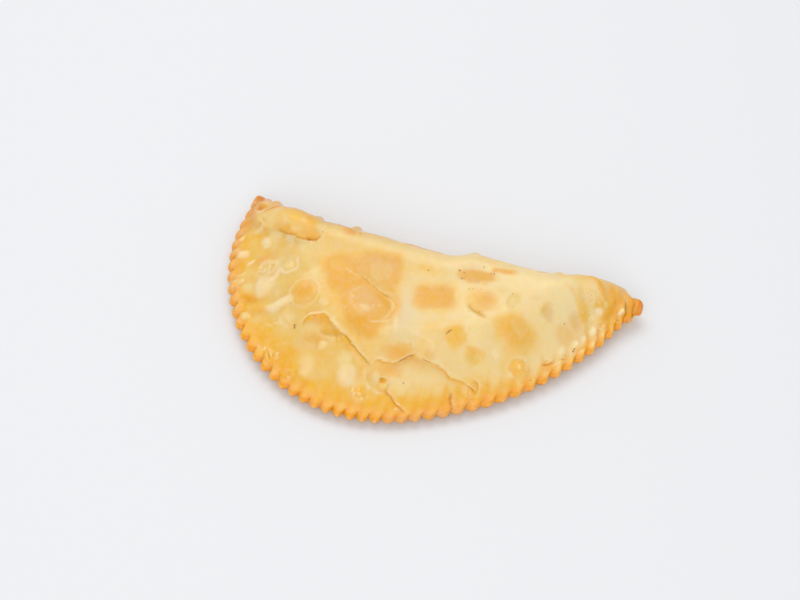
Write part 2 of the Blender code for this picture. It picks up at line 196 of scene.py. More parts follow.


# Cracks in the crust: path, half width, depth, colour (the crust's own in the crack, darkened with
# painted shade in the gap), on which side of the course the lip with its painted highlight lies (1
# is the left), and how far the painted golden shade reaches on the other side
CRACKS = (
    (((-32, -39.3), (-28.5, -41.4), (-25, -43.2), (-20.7, -45.6), (-17, -46.6), (-12.9, -46.9)),
     0.4, 0.14, CRACK_OLIVE, 1, 2),
    (((-13, -46.8), (-10.8, -48.3), (-9.7, -50.4), (-9.5, -54), (-10.7, -55.9)),
     0.6, 0.03, GOLD, -1, 2.6),
    (((-9.7, -55.8), (-10.8, -57), (-12.5, -58.2)), 0.2, 0.05, CRACK_OLIVE, -1, 0.8),
    (((-51, -71.5), (-50.2, -69.3), (-47.7, -67.2), (-44.8, -65.8), (-41.7, -65), (-38.5, -66.6),
      (-36.5, -68.6)), 0.32, 0.08, CRACK_GOLD, 1, 1.5),
    (((-47.2, -67.3), (-44.6, -66)), 0.34, 0.15, CRACK_BROWN, 1, 0.8),
    (((-36.5, -68.6), (-34, -70.2), (-31.3, -71.6), (-27.5, -72.7), (-25.2, -74.3), (-22.5, -75.7)),
     0.8, 0.1, CRACK_TAN, 1, 1.2),
    (((-31.3, -71.6), (-27.5, -72.7), (-25.2, -74.3), (-22.5, -75.7), (-19.3, -78), (-15.5, -79.7),
      (-13, -80.8)), 0.36, 0.14, CRACK_OLIVE, 1, 1.8),
    (((-41, -72.6), (-37.4, -73.5), (-33.6, -73), (-30.8, -72.6)), 0.5, 0.1, CRACK_TAN, -1, 2.2),
    (((-31.5, -73), (-32, -74.4), (-31.6, -75.8)), 0.21, 0.12, CRACK_GOLD, 1, 0.5),
    (((-10.6, -79), (-8.7, -78.1), (-6.4, -78.3), (-3.2, -77.8), (-0.3, -76.3)),
     0.32, 0.1, CRACK_GOLD, 1, 1.2),
    (((-0.3, -76.3), (2.2, -73.9), (4, -72.3), (6.2, -70.6)), 0.26, 0.12, CRACK_DARK, 1, 1),
    (((10.6, -70.8), (12.5, -71.3), (15.4, -71.3)), 0.25, 0.12, CRACK_DARK, 1, 0.8),
    (((15.4, -71.3), (18.2, -71.1), (22, -72.4), (25.2, -73.5), (29.1, -73.6), (33.6, -73.5)),
     0.47, 0.12, CRACK_GOLD, 1, 1),
    (((33.6, -73.5), (36.8, -74.5), (38.9, -75.9)), 0.26, 0.1, CRACK_BROWN, 1, 0.6),
    (((36.4, -70.9), (38.4, -71.2), (38.8, -73.6), (38.9, -75.8)), 0.5, 0.1, CRACK_GOLD, 1, 0.8),
    (((-2.3, -88.7), (-0.7, -90.4), (2.1, -92.1), (4.3, -93.5), (6.8, -94.3), (9.5, -95.8)),
     0.42, 0.24, CRACK_AMBER, 1, 1),
    (((23.1, -39), (25.3, -40.3), (28.2, -41.6), (32.6, -42.6)), 0.7, 0.12, CRACK_OLIVE, -1, 1.6),
    (((-80.5, -25), (-76.9, -26.3), (-72.8, -27.5), (-68.8, -28.3), (-65.3, -28.2), (-62.5, -28)),
     0.34, 0.3, CRACK_GOLD, -1, 2),
    (((-64, -28.1), (-61.9, -28.1), (-59.8, -27.2), (-57.8, -25)),
     0.45, 0.35, CRACK_AMBER, -1, 2.2),
    (((-63, -28.1), (-61.6, -28), (-60.6, -27.6)), 0.26, 0.12, CRACK_DARK, -1, 0.6),
    (((27.5, -79.8), (27.9, -82), (28.8, -83.9), (29.9, -86.4)), 0.64, 0.24, CRACK_AMBER, 1, 1.6),
    (((-63.6, -85.6), (-62.6, -87), (-61.6, -89.4)), 0.42, 0.36, CRACK_AMBER, 1, 1),
    (((-96.2, -10.4), (-94.8, -11), (-93.4, -11.7)), 0.98, 0.78, CRACK_AMBER, -1, 0.8),
    (((-91, -14), (-88, -12.9), (-85.5, -11.7), (-82.5, -10.6)), 0.34, 0.2, CRACK_AMBER, 1, 1.2),
    (((65, -51), (67, -50.2), (70, -48)), 0.38, 0.21, CRACK_AMBER, 1, 1),
    (((72.2, -45.6), (75.6, -43.6)), 0.3, 0.18, CRACK_AMBER, 1, 0.8),
)

# Thin raised wrinkles and blister outlines: path, half width, height, how pale
WRINKLES = (
    (((-42.5, -38.8), (-38.9, -38), (-36.1, -39.3), (-34.1, -40.1), (-32, -39.3), (-29, -40.4)),
     0.5, 0.25, 0.5),
    (((-84.8, -45.5), (-84.2, -42.2), (-81.6, -40.4), (-77.8, -41), (-74.9, -43.4)), 0.9, 0.4, 0.8),
    (((-74.9, -43.4), (-73.2, -46.2), (-72.8, -49.2), (-75.5, -52)), 1.3, 0.45, 0.9),
    (((-80.9, -41.5), (-79.4, -44.2), (-80.6, -46.6), (-83.5, -46.2)), 0.5, 0.45, 0.7),
    (((-83.8, -48.4), (-81.2, -49.2), (-78.4, -48)), 0.5, 0.35, 0.6),
    (((-77, -42.6), (-76.6, -45.6), (-77.9, -49.5)), 0.6, 0.35, 0.7),
    (((-72.5, -44.6), (-70.8, -46.6), (-68.6, -47.3), (-66.2, -46.6), (-64.4, -44.6),
      (-64.1, -42.4), (-65.3, -39.8), (-66.9, -37.3)), 0.9, 0.6, 1),
    (((-72.6, -43.2), (-70, -41), (-67.4, -40.4)), 0.6, 0.3, 0.6),
    (bow(-54.8, -56.2, 7.3, 7.3, 0, 360), 0.6, 0.22, 0.5),
    (bow(-54.5, -55.8, 4.6, 4.4, 200, 430), 0.5, 0.12, 0.2),
    (bow(-22.8, -34.1, 5.2, 4.6, 20, 330), 0.5, 0.1, 0.25),
    (bow(-24.5, -51.5, 8.2, 7.2, 95, 285), 0.7, 0.16, 0.35),
    (((-26.6, -55.6), (-24.4, -56.9), (-22.6, -56.2), (-20.6, -55.8)), 0.7, 0.25, 0.6),
    (((-12.4, -46.1), (-9.6, -48), (-8.5, -51), (-7.6, -56.5), (-6, -61.5), (-5.2, -65.5)),
     0.9, 0.28, 0.7),
    (((-8.6, -57.2), (-12, -59.6), (-16, -61.6), (-19.5, -62.6)), 0.5, 0.2, 0.6),
    (((-50.8, -68.6), (-48, -66), (-44.6, -64.6), (-41.4, -63.9), (-38, -65.2)), 0.5, 0.3, 0.5),
    (((-36.8, -65.6), (-35, -67.6), (-32.3, -69.9), (-29.4, -71.4)), 1, 0.3, 0.9),
    (((-14.8, -82.6), (-14.4, -85.4), (-12.6, -88.2), (-9.2, -90.2), (-5.6, -91.3), (-3.2, -90.6)),
     0.6, 0.42, 0.6),
    (bow(-4.8, -86.2, 2.7, 2.2, -30, 210), 0.4, 0.3, 0.6),
    (((-11, -77.9), (-8, -76.8), (-4, -76.5)), 0.5, 0.2, 0.5),
    (((1.3, -62.6), (4.6, -61.7), (8.4, -62), (12.2, -62.4), (13.6, -64.6), (13.4, -67.6)),
     0.8, 0.22, 0.6),
    (bow(32.6, -49.8, 6.8, 6.4, 50, 350), 0.7, 0.14, 0.5),
    (bow(33, -60.6, 4.3, 4, 0, 360), 0.6, 0.1, 0.15),
    (bow(49.8, -39.9, 3.9, 3.5, 150, 420), 0.5, 0.1, 0.25),
    (((49.8, -43.9), (51.8, -44), (53.2, -43.2)), 0.4, 0.14, 0.6),
    (bow(43.2, -30.2, 3.9, 4.2, 0, 360), 0.5, 0.1, 0.15),
    (bow(60.6, -29.3, 3.4, 3.3, 0, 360), 0.5, 0.1, 0.2),
    (((17, -31.5), (19.2, -33), (20.2, -35.4), (19.4, -38)), 0.8, 0.16, 0.5),
    (((-94.4, -50.6), (-92, -48.4), (-89, -46.4)), 0.8, 0.4, 0.7),
    (((-97.5, -54.5), (-95, -52.6), (-92, -50.8)), 0.5, 0.3, 0.6),
    (((-97.8, -11.6), (-95.6, -13.3), (-93, -13.9), (-90.3, -13.8)), 0.6, 0.6, 0.7),
    (((-97.8, -9.4), (-95, -8.6), (-91.6, -9.6), (-89, -10.8)), 0.5, 0.45, 0.5),
    (((-95.5, -6), (-91, -6.4), (-87, -7)), 0.6, 0.35, 0.5),
    (((-94.6, -5), (-90, -3.6), (-86.6, -5)), 0.5, 0.3, 0.4),
    (((-90.6, -8.6), (-87, -9.4), (-83.6, -8.8)), 0.5, 0.3, 0.5),
    (((-92.2, -17.4), (-90.2, -19.6), (-88, -22.2)), 0.6, 0.45, 0.7),
    (((-66.8, -71.9), (-63.4, -71), (-60.4, -72.3), (-56.9, -73.1)), 0.5, 0.2, 0.6),
    (((-70.4, -72.4), (-67.5, -73.2), (-64.4, -74.6)), 0.5, 0.16, 0.4),
    (((-58.5, -81), (-55, -80.4), (-51.5, -80.6)), 0.5, 0.2, 0.3),
    (((-64.2, -85.6), (-63.6, -87.4), (-62.8, -89.8)), 0.5, 0.6, 0.9),
    (((-60.6, -85.4), (-59.2, -86.4), (-59, -88.4)), 0.5, 0.55, 0.8),
    (((86, -20.6), (85.4, -22.6), (87.2, -23), (87.8, -21)), 0.4, 0.4, 0.9),
    (((93.9, -8.6), (94, -10.8), (93.2, -13)), 0.8, 0.5, 0.9),
    (((91.6, -15.4), (93.4, -16.4), (95.4, -16.4)), 0.4, 0.4, 0.8),
    (((88.4, -16.4), (88.9, -17.9)), 0.5, 0.4, 0.9),
    (((35.2, -72.2), (34, -73.2), (34.6, -74.6)), 0.5, 0.35, 0.6),
    (((36, -74.8), (36.2, -76.6), (37.8, -76.4)), 0.6, 0.35, 0.7),
    (((56.4, -62.6), (56.7, -65.2)), 0.7, 0.4, 0.8),
    (((70.2, -50), (72, -47.4), (73.2, -44.6)), 0.5, 0.3, 0.8),
    # Raised arc whose pale colour is painted glint
    (((3.6, -93.2), (5, -92.6), (6.4, -93.2)), 0.4, 0.35, 0.8),
)

# Blisters with a colour of their own, some with painted glint or painted shade: place, length,
# width, turn, height, colour, strength
BUBBLES = (
    (-97.4, -36.6, 9, 5.4, 5, 0.45, WHITE, 0.75),
    (-100.6, -27.4, 2.6, 5, -25, 0.35, PALE, 0.6),
    (-86.6, -29.7, 6, 5, 0, 0.45, WHITE, 0.85),
    (-82.5, -26.6, 7, 3.6, -15, 0.4, PALE, 0.7),
    (-74.1, -28.6, 6, 3, 0, 0.35, WHITE, 0.6),
    (-91.5, -23, 5.6, 4, 20, 0.3, PALE, 0.7),
    (-70.4, -25, 5.6, 3, -8, 0.15, PALE, 0.7),
    (-58.9, -19.9, 5, 5, 0, 0.25, PALE, 0.5),
    (-90.4, -41.5, 6.2, 2.4, 48, 0.45, WHITE, 0.7),
    (-79.4, -42.9, 2.6, 2.2, 0, -0.35, OLIVE, 0.7),
    (-68.4, -43, 5.4, 4.6, 0, 0.35, PALE, 0.6),
    (-76.4, -55, 10.5, 11, -30, 0.45, WHITE, 0.7),
    (-79.5, -51, 5, 5, 0, 0.3, WHITE, 0.5),
    (-65.8, -62.9, 13, 6.4, 30, 0.4, WHITE, 0.8),
    (-61.5, -60.6, 6, 5.4, 10, 0.25, WHITE, 0.35),
    (-43.6, -58.9, 6.6, 4.6, 5, 0.3, WHITE, 0.45),
    (-59.4, -67.8, 7, 5, 0, 0.2, PALE, 0.6),
    (-62.2, -70.4, 5, 2.2, -20, 0.25, PALE, 0.5),
    (-91, -52.4, 3.6, 3.4, 0, 0.35, WHITE, 0.45),
    (-93.4, -57, 2, 5, 10, 0.3, PALE, 0.6),
    (-82, -70.4, 4.6, 4.6, 0, 0.5, WHITE, 0.45),
    (-69.5, -85, 2.2, 3.6, 0, 0.3, PALE, 0.6),
    (-65.6, -84.6, 1.4, 2.8, 10, 0.45, WHITE, 0.8),
    (-38, -78.4, 4.8, 4.6, 0, 0.4, WHITE, 0.45),
    (-42.3, -89.2, 7.8, 9.6, -10, 0.35, WHITE, 0.45),
    (-43.6, -86, 9, 5, 30, 0.2, PALE, 0.45),
    (-22.4, -88.2, 10.2, 10, 0, 0.45, WHITE, 0.6),
    (-25.4, -81.6, 8, 8, 20, 0.25, PALE, 0.65),
    (-8.8, -85.2, 6, 4.4, -10, 0.45, PALE, 0.6),
    # Next two: the hole in a blister, a shallow dip whose dark gold is partly the crust's colour
    # and partly painted shade in the hole
    (-4.7, -85.3, 3.8, 2.6, 0, -0.25, CRACK_GOLD, 0.9),
    (-5.2, -86, 1.4, 1, 0, -0.1, CRACK_AMBER, 0.7),
    (5.6, -95.6, 2.6, 2, 0, 0.45, WHITE, 0.8),
    (37.3, -32.1, 2.6, 2.4, 0, 0.15, WHITE, 0.5),
    (42.5, -56.5, 4, 3.6, 0, 0.15, WHITE, 0.75),
    (32.6, -49.8, 13, 12, 0, 0.12, PALE, 0.6),
    # The white ones at the right tip, down to 93.7, -11: raised blisters whose white is partly pale
    # skin and partly painted glint
    (83.8, -16.2, 3.4, 4.2, 0, 0.4, WHITE, 0.95),
    (85.8, -11.7, 2.8, 2.6, 0, 0.25, PALE, 0.6),
    (84, -25.8, 3.4, 5.4, -10, 0.45, WHITE, 0.95),
    (81, -31, 3, 3.4, 0, 0.4, WHITE, 0.9),
    (78, -34.6, 3.2, 2.8, 20, 0.35, WHITE, 0.8),
    (73.4, -40.8, 5.4, 4.4, 20, 0.35, WHITE, 0.95),
    (93.7, -11, 2, 4.4, -15, 0.35, WHITE, 0.95),
    (82.3, -20.4, 2.8, 2.4, 0, 0.3, PALE, 0.6),
    (78.9, -24.9, 3, 2.6, 0, 0.2, PALE, 0.5),
    (-46.8, -67, 2.6, 1.2, 15, 0.35, WHITE, 0.7),
    (-31.2, -52.4, 1.8, 1.8, 0, 0.25, WHITE, 0.6),
    (-32.8, -59.3, 1.4, 1.4, 0, 0.2, PALE, 0.6),
    (-20, -53.4, 1.4, 1.2, 0, 0.2, PALE, 0.6),
    (-17.6, -52.6, 1.4, 1.2, 0, 0.2, PALE, 0.6),
    (0.4, -47.3, 1.6, 1.4, 0, 0.15, WHITE, 0.4),
)

# Popped blisters, bubbly and torn: place and radius, largest bubble, how pale the bubbles are, the
# colour between them, and how pale the rim is
POPPED = (
    (-13.7, -93.3, 3.9, 2, 1, HONEY, 0.8),
    (-51.1, -95, 2.9, 1.7, 0.8, GOLD, 0.5),
    (-59.6, -86.6, 1.8, 1.3, 0.8, GOLD, 0.3),
    (54.6, -57.5, 4.9, 2, 0.55, HONEY, 0.8),
    (28.4, -82, 1.7, 1.3, 0.5, AMBER, 0.2),
    (36.6, -76.2, 2.6, 1.8, 0.8, HONEY, 0.5),
    (86.6, -21.8, 1.9, 1.3, 0.9, HONEY, 0.4),
    # The four rimless ones at the right tip are glitter: small raised bubbles whose pale colour is
    # painted glint
    (79.6, -11, 4, 1, 1, PALE, 0),
    (76.9, -13.4, 3.4, 0.8, 0.9, PALE, 0),
    (82.6, -13.4, 2.6, 0.8, 0.8, HONEY, 0),
    (77.6, -21, 2.6, 0.9, 0.6, HONEY, 0),
    (-47.8, -67.4, 1.8, 1.2, 0.7, HONEY, 0.2),
    (-81.6, -46.6, 3, 1.8, 0.8, BUTTER, 0.4),
    (66.6, -50.2, 1.8, 1.4, 0.3, GOLD, 0.3),
)

# Soft patches of colour: colour, place, length, width, turn, softness, strength
PATCHES = (
    (CREAM, 50, -27, 84, 52, -12, 0.7, 1),
    (CREAM, 62, -33, 18, 20, 20, 0.9, 0.8),
    (MILK, -4, -52, 13, 30, 8, 0.9, 1),
    (HONEY, -36, -48, 34, 30, -30, 0.9, 0.5),
    (CREAM, -14, -19, 44, 8, 6, 0.9, 0.5),
    (PALE, 50, -26, 26, 16, -20, 0.9, 0.5),
    (PALE, 64, -37, 14, 22, 30, 0.9, 0.6),
    (HONEY, -28, -74, 30, 12, -20, 0.9, 0.4),
    (OLIVE, -63, -50, 20, 18, 0, 0.9, 0.35),
    (PALE, -53, -45, 19, 5, -52, 0.8, 0.6),
    (PALE, -63, -33, 14, 9, 0, 0.9, 0.6),
    (BUTTER, -78, -36, 16, 10, -10, 0.9, 0.5),
    (HONEY, -92, -32, 14, 22, 20, 0.8, 0.6),
    (GOLD, -97, -44, 7, 14, 20, 0.8, 0.8),
    (GOLD, -93, -20, 20, 7, -60, 0.8, 0.4),
    (AMBER, -84.3, -39.4, 9, 5, 20, 0.8, 0.55),
    (GOLD, -88, -58.8, 8, 7, 10, 0.8, 0.3),
    (PALE, -84.5, -56.2, 8, 5, 0, 0.8, 0.7),
    (GOLD, -83, -61.4, 14, 6, -5, 0.8, 0.8),
    (AMBER, -82.2, -61.6, 8, 3, -5, 0.9, 0.5),
    (GOLD, -76.4, -66.8, 12, 3, 12, 0.8, 0.6),
    (HONEY, -76.4, -64.8, 11, 3, 12, 0.8, 0.7),
    (GOLD, -55, -56.4, 12, 12, 0, 0.7, 0.6),
    (AMBER, -54.2, -53.9, 4.5, 4, 0, 0.9, 0.45),
    (AMBER, -56.9, -57, 6, 3.4, 20, 0.9, 0.3),
    (PALE, -85, -17.5, 18, 9, -10, 0.8, 0.5),
    (HONEY, -72.5, -15.5, 18, 10, -20, 0.8, 0.8),
    # Next two: painted shade at the roll's right end and along its lower edge by the crease
    (GOLD, -64.5, -22, 6, 10, -10, 0.8, 0.5),
    (GOLD, -75, -24.6, 16, 3, -12, 0.9, 0.5),
    # Painted shadow inside the triangular flap
    (CRACK_OLIVE, -91.2, -20.6, 2.6, 5, -35, 0.9, 0.5),
    (PEACH, -43.2, -77.2, 10, 6, 10, 0.8, 0.8),
    (PALE, -46, -81.5, 9, 5, 20, 0.9, 0.5),
    (GOLD, -50.4, -83.6, 10, 4, 20, 0.9, 0.5),
    (PALE, -44, -71, 10, 4, 0, 0.9, 0.4),
    (OLIVE, -39.5, -69, 6, 4, -20, 0.9, 0.6),
    # Next two: painted shade above the side crease of the long crack and along the crack
    (CRACK_GOLD, -36.4, -72, 7, 2.6, 5, 0.9, 0.5),
    (CRACK_TAN, -30.6, -72.2, 7.5, 2.2, -12, 0.7, 0.7),
    (GOLD, -57, -88, 12, 8, -25, 0.8, 0.6),
    (GOLD, -72, -78, 16, 6, -40, 0.9, 0.2),
    (BUTTER, -7, -73, 16, 8, -10, 0.9, 0.5),
    (PEACH, -1, -71.6, 15, 5.5, 18, 0.7, 0.85),
    (GOLD, -2.6, -73.6, 9, 3, 25, 0.9, 0.5),
    (PEACH, 7, -74.8, 14, 6, 8, 0.8, 0.7),
    (GOLD, -3, -80.6, 9, 5, 10, 0.8, 0.7),
    (AMBER, 1.4, -79.8, 4, 4, 0, 0.9, 0.4),
    (PALE, 13, -78.6, 22, 7, -6, 0.8, 0.7),
    (PALE, 2, -86, 9, 6, 0, 0.8, 0.5),
    (OLIVE, 9, -84.2, 2.4, 6, 10, 0.9, 0.4),
    (PEACH, 12.9, -68.4, 5, 4, 0, 0.8, 0.6),
    (HONEY, -0.8, -26.4, 16, 3.6, 8, 0.8, 0.55),
    (TOAST, 20, -19, 10, 4, 10, 0.9, 0.5),
    (HONEY, 29.6, -33.6, 15, 12, 0, 0.7, 0.6),
    (PEACH, 30.4, -33.4, 9, 8.4, 0, 0.8, 0.95),
    (HONEY, 24, -34, 9, 10, 0, 0.9, 0.4),
    (OLIVE, 43.2, -30.2, 7.4, 8.6, 0, 0.35, 0.8),
    (CREAM, 43.6, -30.4, 3.4, 4, 0, 0.9, 0.4),
    (OLIVE, 36.9, -25.9, 7, 3.6, 10, 0.9, 0.45),
    (TOAST, 53.5, -24.4, 5, 2.4, 10, 0.9, 0.3),
    (HONEY, 31.8, -43.6, 5, 2.4, -30, 0.9, 0.6),
    (HONEY, 49, -44, 22, 16, 0, 0.5, 0.8),
    (PEACH, 49.4, -43.4, 17, 12, 0, 0.5, 0.45),
    (GOLD, 44.4, -42.2, 7, 7, 0, 0.9, 0.25),
    (BUTTER, 49.8, -39.9, 7, 6, 0, 0.4, 0.45),
    (OLIVE, 56.4, -49.4, 2.4, 5, 0, 0.9, 0.4),
    (HONEY, 22.4, -55.8, 11, 10.6, 0, 0.3, 0.75),
    (GOLD, 20.6, -54.6, 6, 5, 0, 0.9, 0.25),
    (HONEY, 10.4, -55.4, 7, 4, 10, 0.9, 0.4),
    (HONEY, 33, -60.4, 9, 8, 0, 0.35, 0.65),
    (GOLD, 32.2, -58.9, 6, 2.4, 10, 0.8, 0.5),
    (OLIVE, 33.8, -61.6, 4.6, 4, 0, 0.5, 0.5),
    (TOAST, 60.6, -29.3, 6.8, 6.6, 0, 0.35, 0.6),
    (OLIVE, 58.8, -29.8, 3.4, 3.6, 0, 0.9, 0.7),
    (PEACH, 71.4, -34.2, 9, 8.4, 0, 0.5, 0.45),
    (TOAST, 74.2, -26, 8, 7, 0, 0.5, 0.5),
    (PEACH, 75, -28, 5, 8, 20, 0.9, 0.35),
    (PALE, 76.4, -11.4, 12, 9.5, -35, 0.5, 0.85),
    (HONEY, 76.5, -19, 5, 14, 25, 0.8, 0.7),
    (GOLD, 90, -11, 16, 20, 10, 0.6, 0.6),
    (AMBER, 97, -8, 7, 12, 15, 0.7, 0.4),
    (PALE, 45, -66, 12, 9, -15, 0.8, 0.7),
    (HONEY, 51, -57, 10, 9, 0, 0.8, 0.6),
    (CRACK_AMBER, 52.4, -59.4, 2.8, 2.4, 0, 0.8, 0.5),
    (AMBER, 58, -57.5, 3.4, 6, 0, 0.8, 0.4),
    (AMBER, 28.6, -83, 4, 7, -15, 0.8, 0.6),
    (AMBER, 67.5, -51.2, 6, 3.4, -30, 0.8, 0.5),
    (AMBER, -46.8, -67.8, 3.4, 1.6, 15, 0.6, 0.8),
    (AMBER, -43.4, -65.8, 3, 1.2, 10, 0.6, 0.8),
    (GOLD, -44, -67.4, 12, 4, -5, 0.8, 0.7),
    (AMBER, -44.9, -17.5, 7.5, 5, -20, 0.4, 1),
    (CRACK_AMBER, -44, -17.2, 2.6, 3.4, 0, 0.8, 0.5),
    (TOAST, -40, -15.5, 6, 4, 0, 0.9, 0.5),
    (PALE, -48, -20, 12, 7, 0, 0.9, 0.5),
    (AMBER, 15.7, -7, 7, 4, 20, 0.8, 0.6),
    (HONEY, 28, -9, 22, 8, 0, 0.9, 0.4),
    (HONEY, 64, -6, 16, 6, 0, 0.9, 0.5),
    (RUSSET, -98, -6, 16, 12, -10, 0.8, 0.8),
    (AMBER, -100.5, -2.5, 7, 5, 0, 0.7, 0.7),
    (RUSSET, -101, -16, 8, 12, 20, 0.9, 0.6),
    (PEACH, -91, -9, 14, 8, -10, 0.8, 0.6),
    (AMBER, -98, -14, 6, 10, 20, 0.9, 0.35),
)

# Patches with squarer ends, given in the same way
BLOCKS = (
    (HONEY, 6.6, -39.4, 23, 16, 18, 0.3, 0.55),
    (PEACH, 6.4, -39.6, 19.5, 12.5, 18, 0.22, 0.95),
    (GOLD, 7.6, -38.6, 13, 7, 18, 0.8, 0.35),
    (PEACH, 23.4, -22.4, 17.5, 5.6, 10, 0.35, 0.9),
    (PEACH, 34.3, -16.4, 11.5, 2.8, 12, 0.5, 0.9),
    (AMBER, 34, -16.8, 6, 1.6, 12, 0.8, 0.5),
)

# Bands of colour along a path: path, half width, colour, strength
BANDS = (
    (((69, -3.6), (74, -3), (78.4, -3.8), (82, -7), (83.6, -10)), 1.5, GOLD, 0.95),
    (((66.8, -13.6), (71.3, -16.8), (74.9, -20.1), (77.3, -23.7), (80.1, -25.5), (82, -29.5)),
     0.9, GOLD, 0.35),
    (((86.2, -3), (88.6, -6), (90.6, -9.6), (90.4, -14.6)), 1.1, AMBER, 0.6),
    (((93.6, -1.6), (95.2, -5.6), (97.2, -8.6), (99.6, -9.6)), 0.9, AMBER, 0.7),
    (((88.6, -10.6), (88.2, -15), (86.4, -18.6)), 1.4, GOLD, 0.7),
    (((91.5, 0.5), (94, -4.4), (95.2, -7)), 0.9, TOAST, 0.5),
    (((-18.4, -11.4), (-12, -12.8), (-6, -13.2), (2.4, -12.4)), 1.5, RUSSET, 0.85),
    (((2.4, -12.4), (8, -11.6), (13, -9.6)), 1, RUSSET, 0.4),
    (((-88, -9), (-82, -11.6), (-74, -14.2), (-67, -15.4), (-58, -14), (-46, -13.4)),
     2.2, RUSSET, 0.65),
    (((-103, -0.6), (-100.6, -2.2), (-97.6, -2.8)), 2.4, RUST, 0.9),
    (((-97.6, -10.2), (-94.8, -11.1), (-92.2, -12.1)), 1.2, AMBER, 0.95),
    (((100, -1), (102.6, -3), (103.2, -6), (100, -10)), 2.8, RUST, 0.85),
    (((50.8, -9.8), (52.6, -9), (54.6, -6.4)), 0.6, RUST, 0.8),
    (((12.4, -8.4), (15, -6), (19, -5.6)), 0.9, AMBER, 0.5),
    (((40, -8), (46, -8), (52, -8.6)), 1.2, RUSSET, 0.3),
    (((-98.6, -7.6), (-97.6, -5), (-93.6, -3.4), (-88.6, -4)), 0.8, RUSSET, 0.6),
    (((-91, -12.6), (-87.6, -11), (-84, -10)), 0.7, RUSSET, 0.5),
    (((14.6, -25.6), (20.6, -25.6), (26, -24.6)), 0.7, CRACK_AMBER, 0.35),
    # Painted shade inside the curved step at the end of the upper crack
    (((-13.6, -50), (-12.4, -53.6), (-12.8, -57)), 1.3, CRACK_GOLD, 0.45),
    (((-17.4, -82), (-16.6, -85), (-16.6, -88)), 1.2, GOLD, 0.6),
    (((40.6, -37), (44, -37.6), (49, -36.6)), 1.2, HONEY, 0.5),
    (((84.6, -28.6), (82.6, -33.6), (79.6, -38)), 1, GOLD, 0.7),
)

# The gold patch left of the middle, around the long crack, and its paler and darker parts
GOLD_FIELD = (
    (-52.6, -36), (-47.5, -31.6), (-43, -30.2), (-37, -30.2), (-33.5, -26.4), (-25, -24),
    (-17.6, -23.4), (-13.6, -28.2), (-12, -35.2), (-12.6, -41), (-11.8, -46.6), (-10.8, -50),
    (-11, -55), (-13, -58), (-12.4, -62), (-13.6, -67.6), (-17.4, -70.8), (-22.6, -71.2),
    (-28.4, -67.8), (-33, -62.6), (-37, -57.6), (-40.4, -53.6), (-44.6, -50), (-47.6, -44.6),
    (-51.6, -40.6))
FIELD_PARTS = (
    (TOAST, -24, -30, 22, 12, 12, 0.9, 0.4),
    (BUTTER, -22.8, -34.1, 9.8, 8.6, 0, 0.25, 0.35),
    (GOLD, -41, -43, 16, 12, -40, 0.8, 0.6),
    (GOLD, -34, -55, 10, 14, 20, 0.9, 0.4),
    (TOAST, -24.5, -51, 15, 12, -10, 0.6, 0.4),
    (BUTTER, -21, -41.5, 12, 4, -25, 0.9, 0.45),
    (PALE, -25, -56, 6, 3, 0, 0.9, 0.4),
    (GOLD, -20, -66, 14, 8, 0, 0.9, 0.35),
    (HONEY, -45, -37, 10, 6, 0, 0.9, 0.4),
)

# Dark flecks: place and size
FLECKS = (
    (-54.4, -71.9, 1.25), (-54.1, -73.1, 1.05), (18.5, -55.6, 1.2), (19.3, -54.6, 1),
    (18, -56.6, 0.9), (77.6, -37.6, 1.2), (77.4, -39, 1.1), (-57.1, -22.6, 0.9),
    (-39.5, -17, 0.9), (-44.9, -15.2, 0.9), (-0.9, -26.7, 0.8), (14.1, -22.4, 1),
    (16.2, -22.5, 0.8), (15.6, -25.6, 0.9), (21.2, -24.7, 0.8), (24.4, -24.9, 0.7),
    (21.2, -29.9, 0.7), (22.7, -29.3, 0.7), (26.4, -28.6, 0.6), (13.4, -9.9, 0.7),
    (24.8, -17, 0.8), (30.2, -18.8, 1), (28.8, -19.6, 0.8), (30.9, -7.6, 0.8),
    (38.2, -9.6, 0.7), (42.2, -26.4, 0.7), (69.8, -29.5, 0.8), (60.8, -7.9, 0.8),
    (4.9, -83.5, 0.8), (3.1, -67, 0.6), (-2.4, -68.6, 0.5), (27.1, -53.7, 0.5),
    (33.7, -50.4, 0.7), (-32.9, -93.5, 0.7), (-30, -98.4, 0.7), (40.6, -69.8, 0.5),
    (62, -60.6, 0.7), (66.8, -13.4, 0.7), (-14.5, -12.5, 0.8), (15.6, -6.4, 0.7),
    (-15.4, -80.4, 0.5), (42.6, -70, 0.5),
)

# Browning along the seam, given at places along x: how far it runs inwards
GOLD_REACH = ((-103, 18), (-80, 18), (-50, 27), (-20, 26), (0, 25), (20, 22), (40, 19), (60, 17),
              (75, 18), (85, 26), (95, 34), (103, 36))
AMBER_REACH = ((-103, 4.5), (-80, 5), (-50, 6.5), (-20, 6.5), (0, 7.5), (20, 8), (40, 8), (60, 7),
               (80, 6), (95, 8), (103, 14))

# Mesh: faces along the seam, from the seam to the fold on top, and back below, before refining
COLUMNS = 192
TOP_ROWS = 74
UNDER_ROWS = 44
TABLE_POINTS = 4001       # points that the seam's outline is measured at
STEP = 1e-3               # short step along and across the crust, to find the way out of it
TUBE = 20.0               # radius of the tube that the crust is drawn on before it is bent to shape
TUBE_WELD = 1e-4
TOLERANCES = (0.060, 0.060, 0.060)   # mm that a straight edge may miss the crust by, in each pass
TINT_WEIGHT = 0.35        # mm that a full change of colour counts for
EDGE_CHECKS = (0.25, 0.5, 0.75)      # places along an edge where the miss is measured

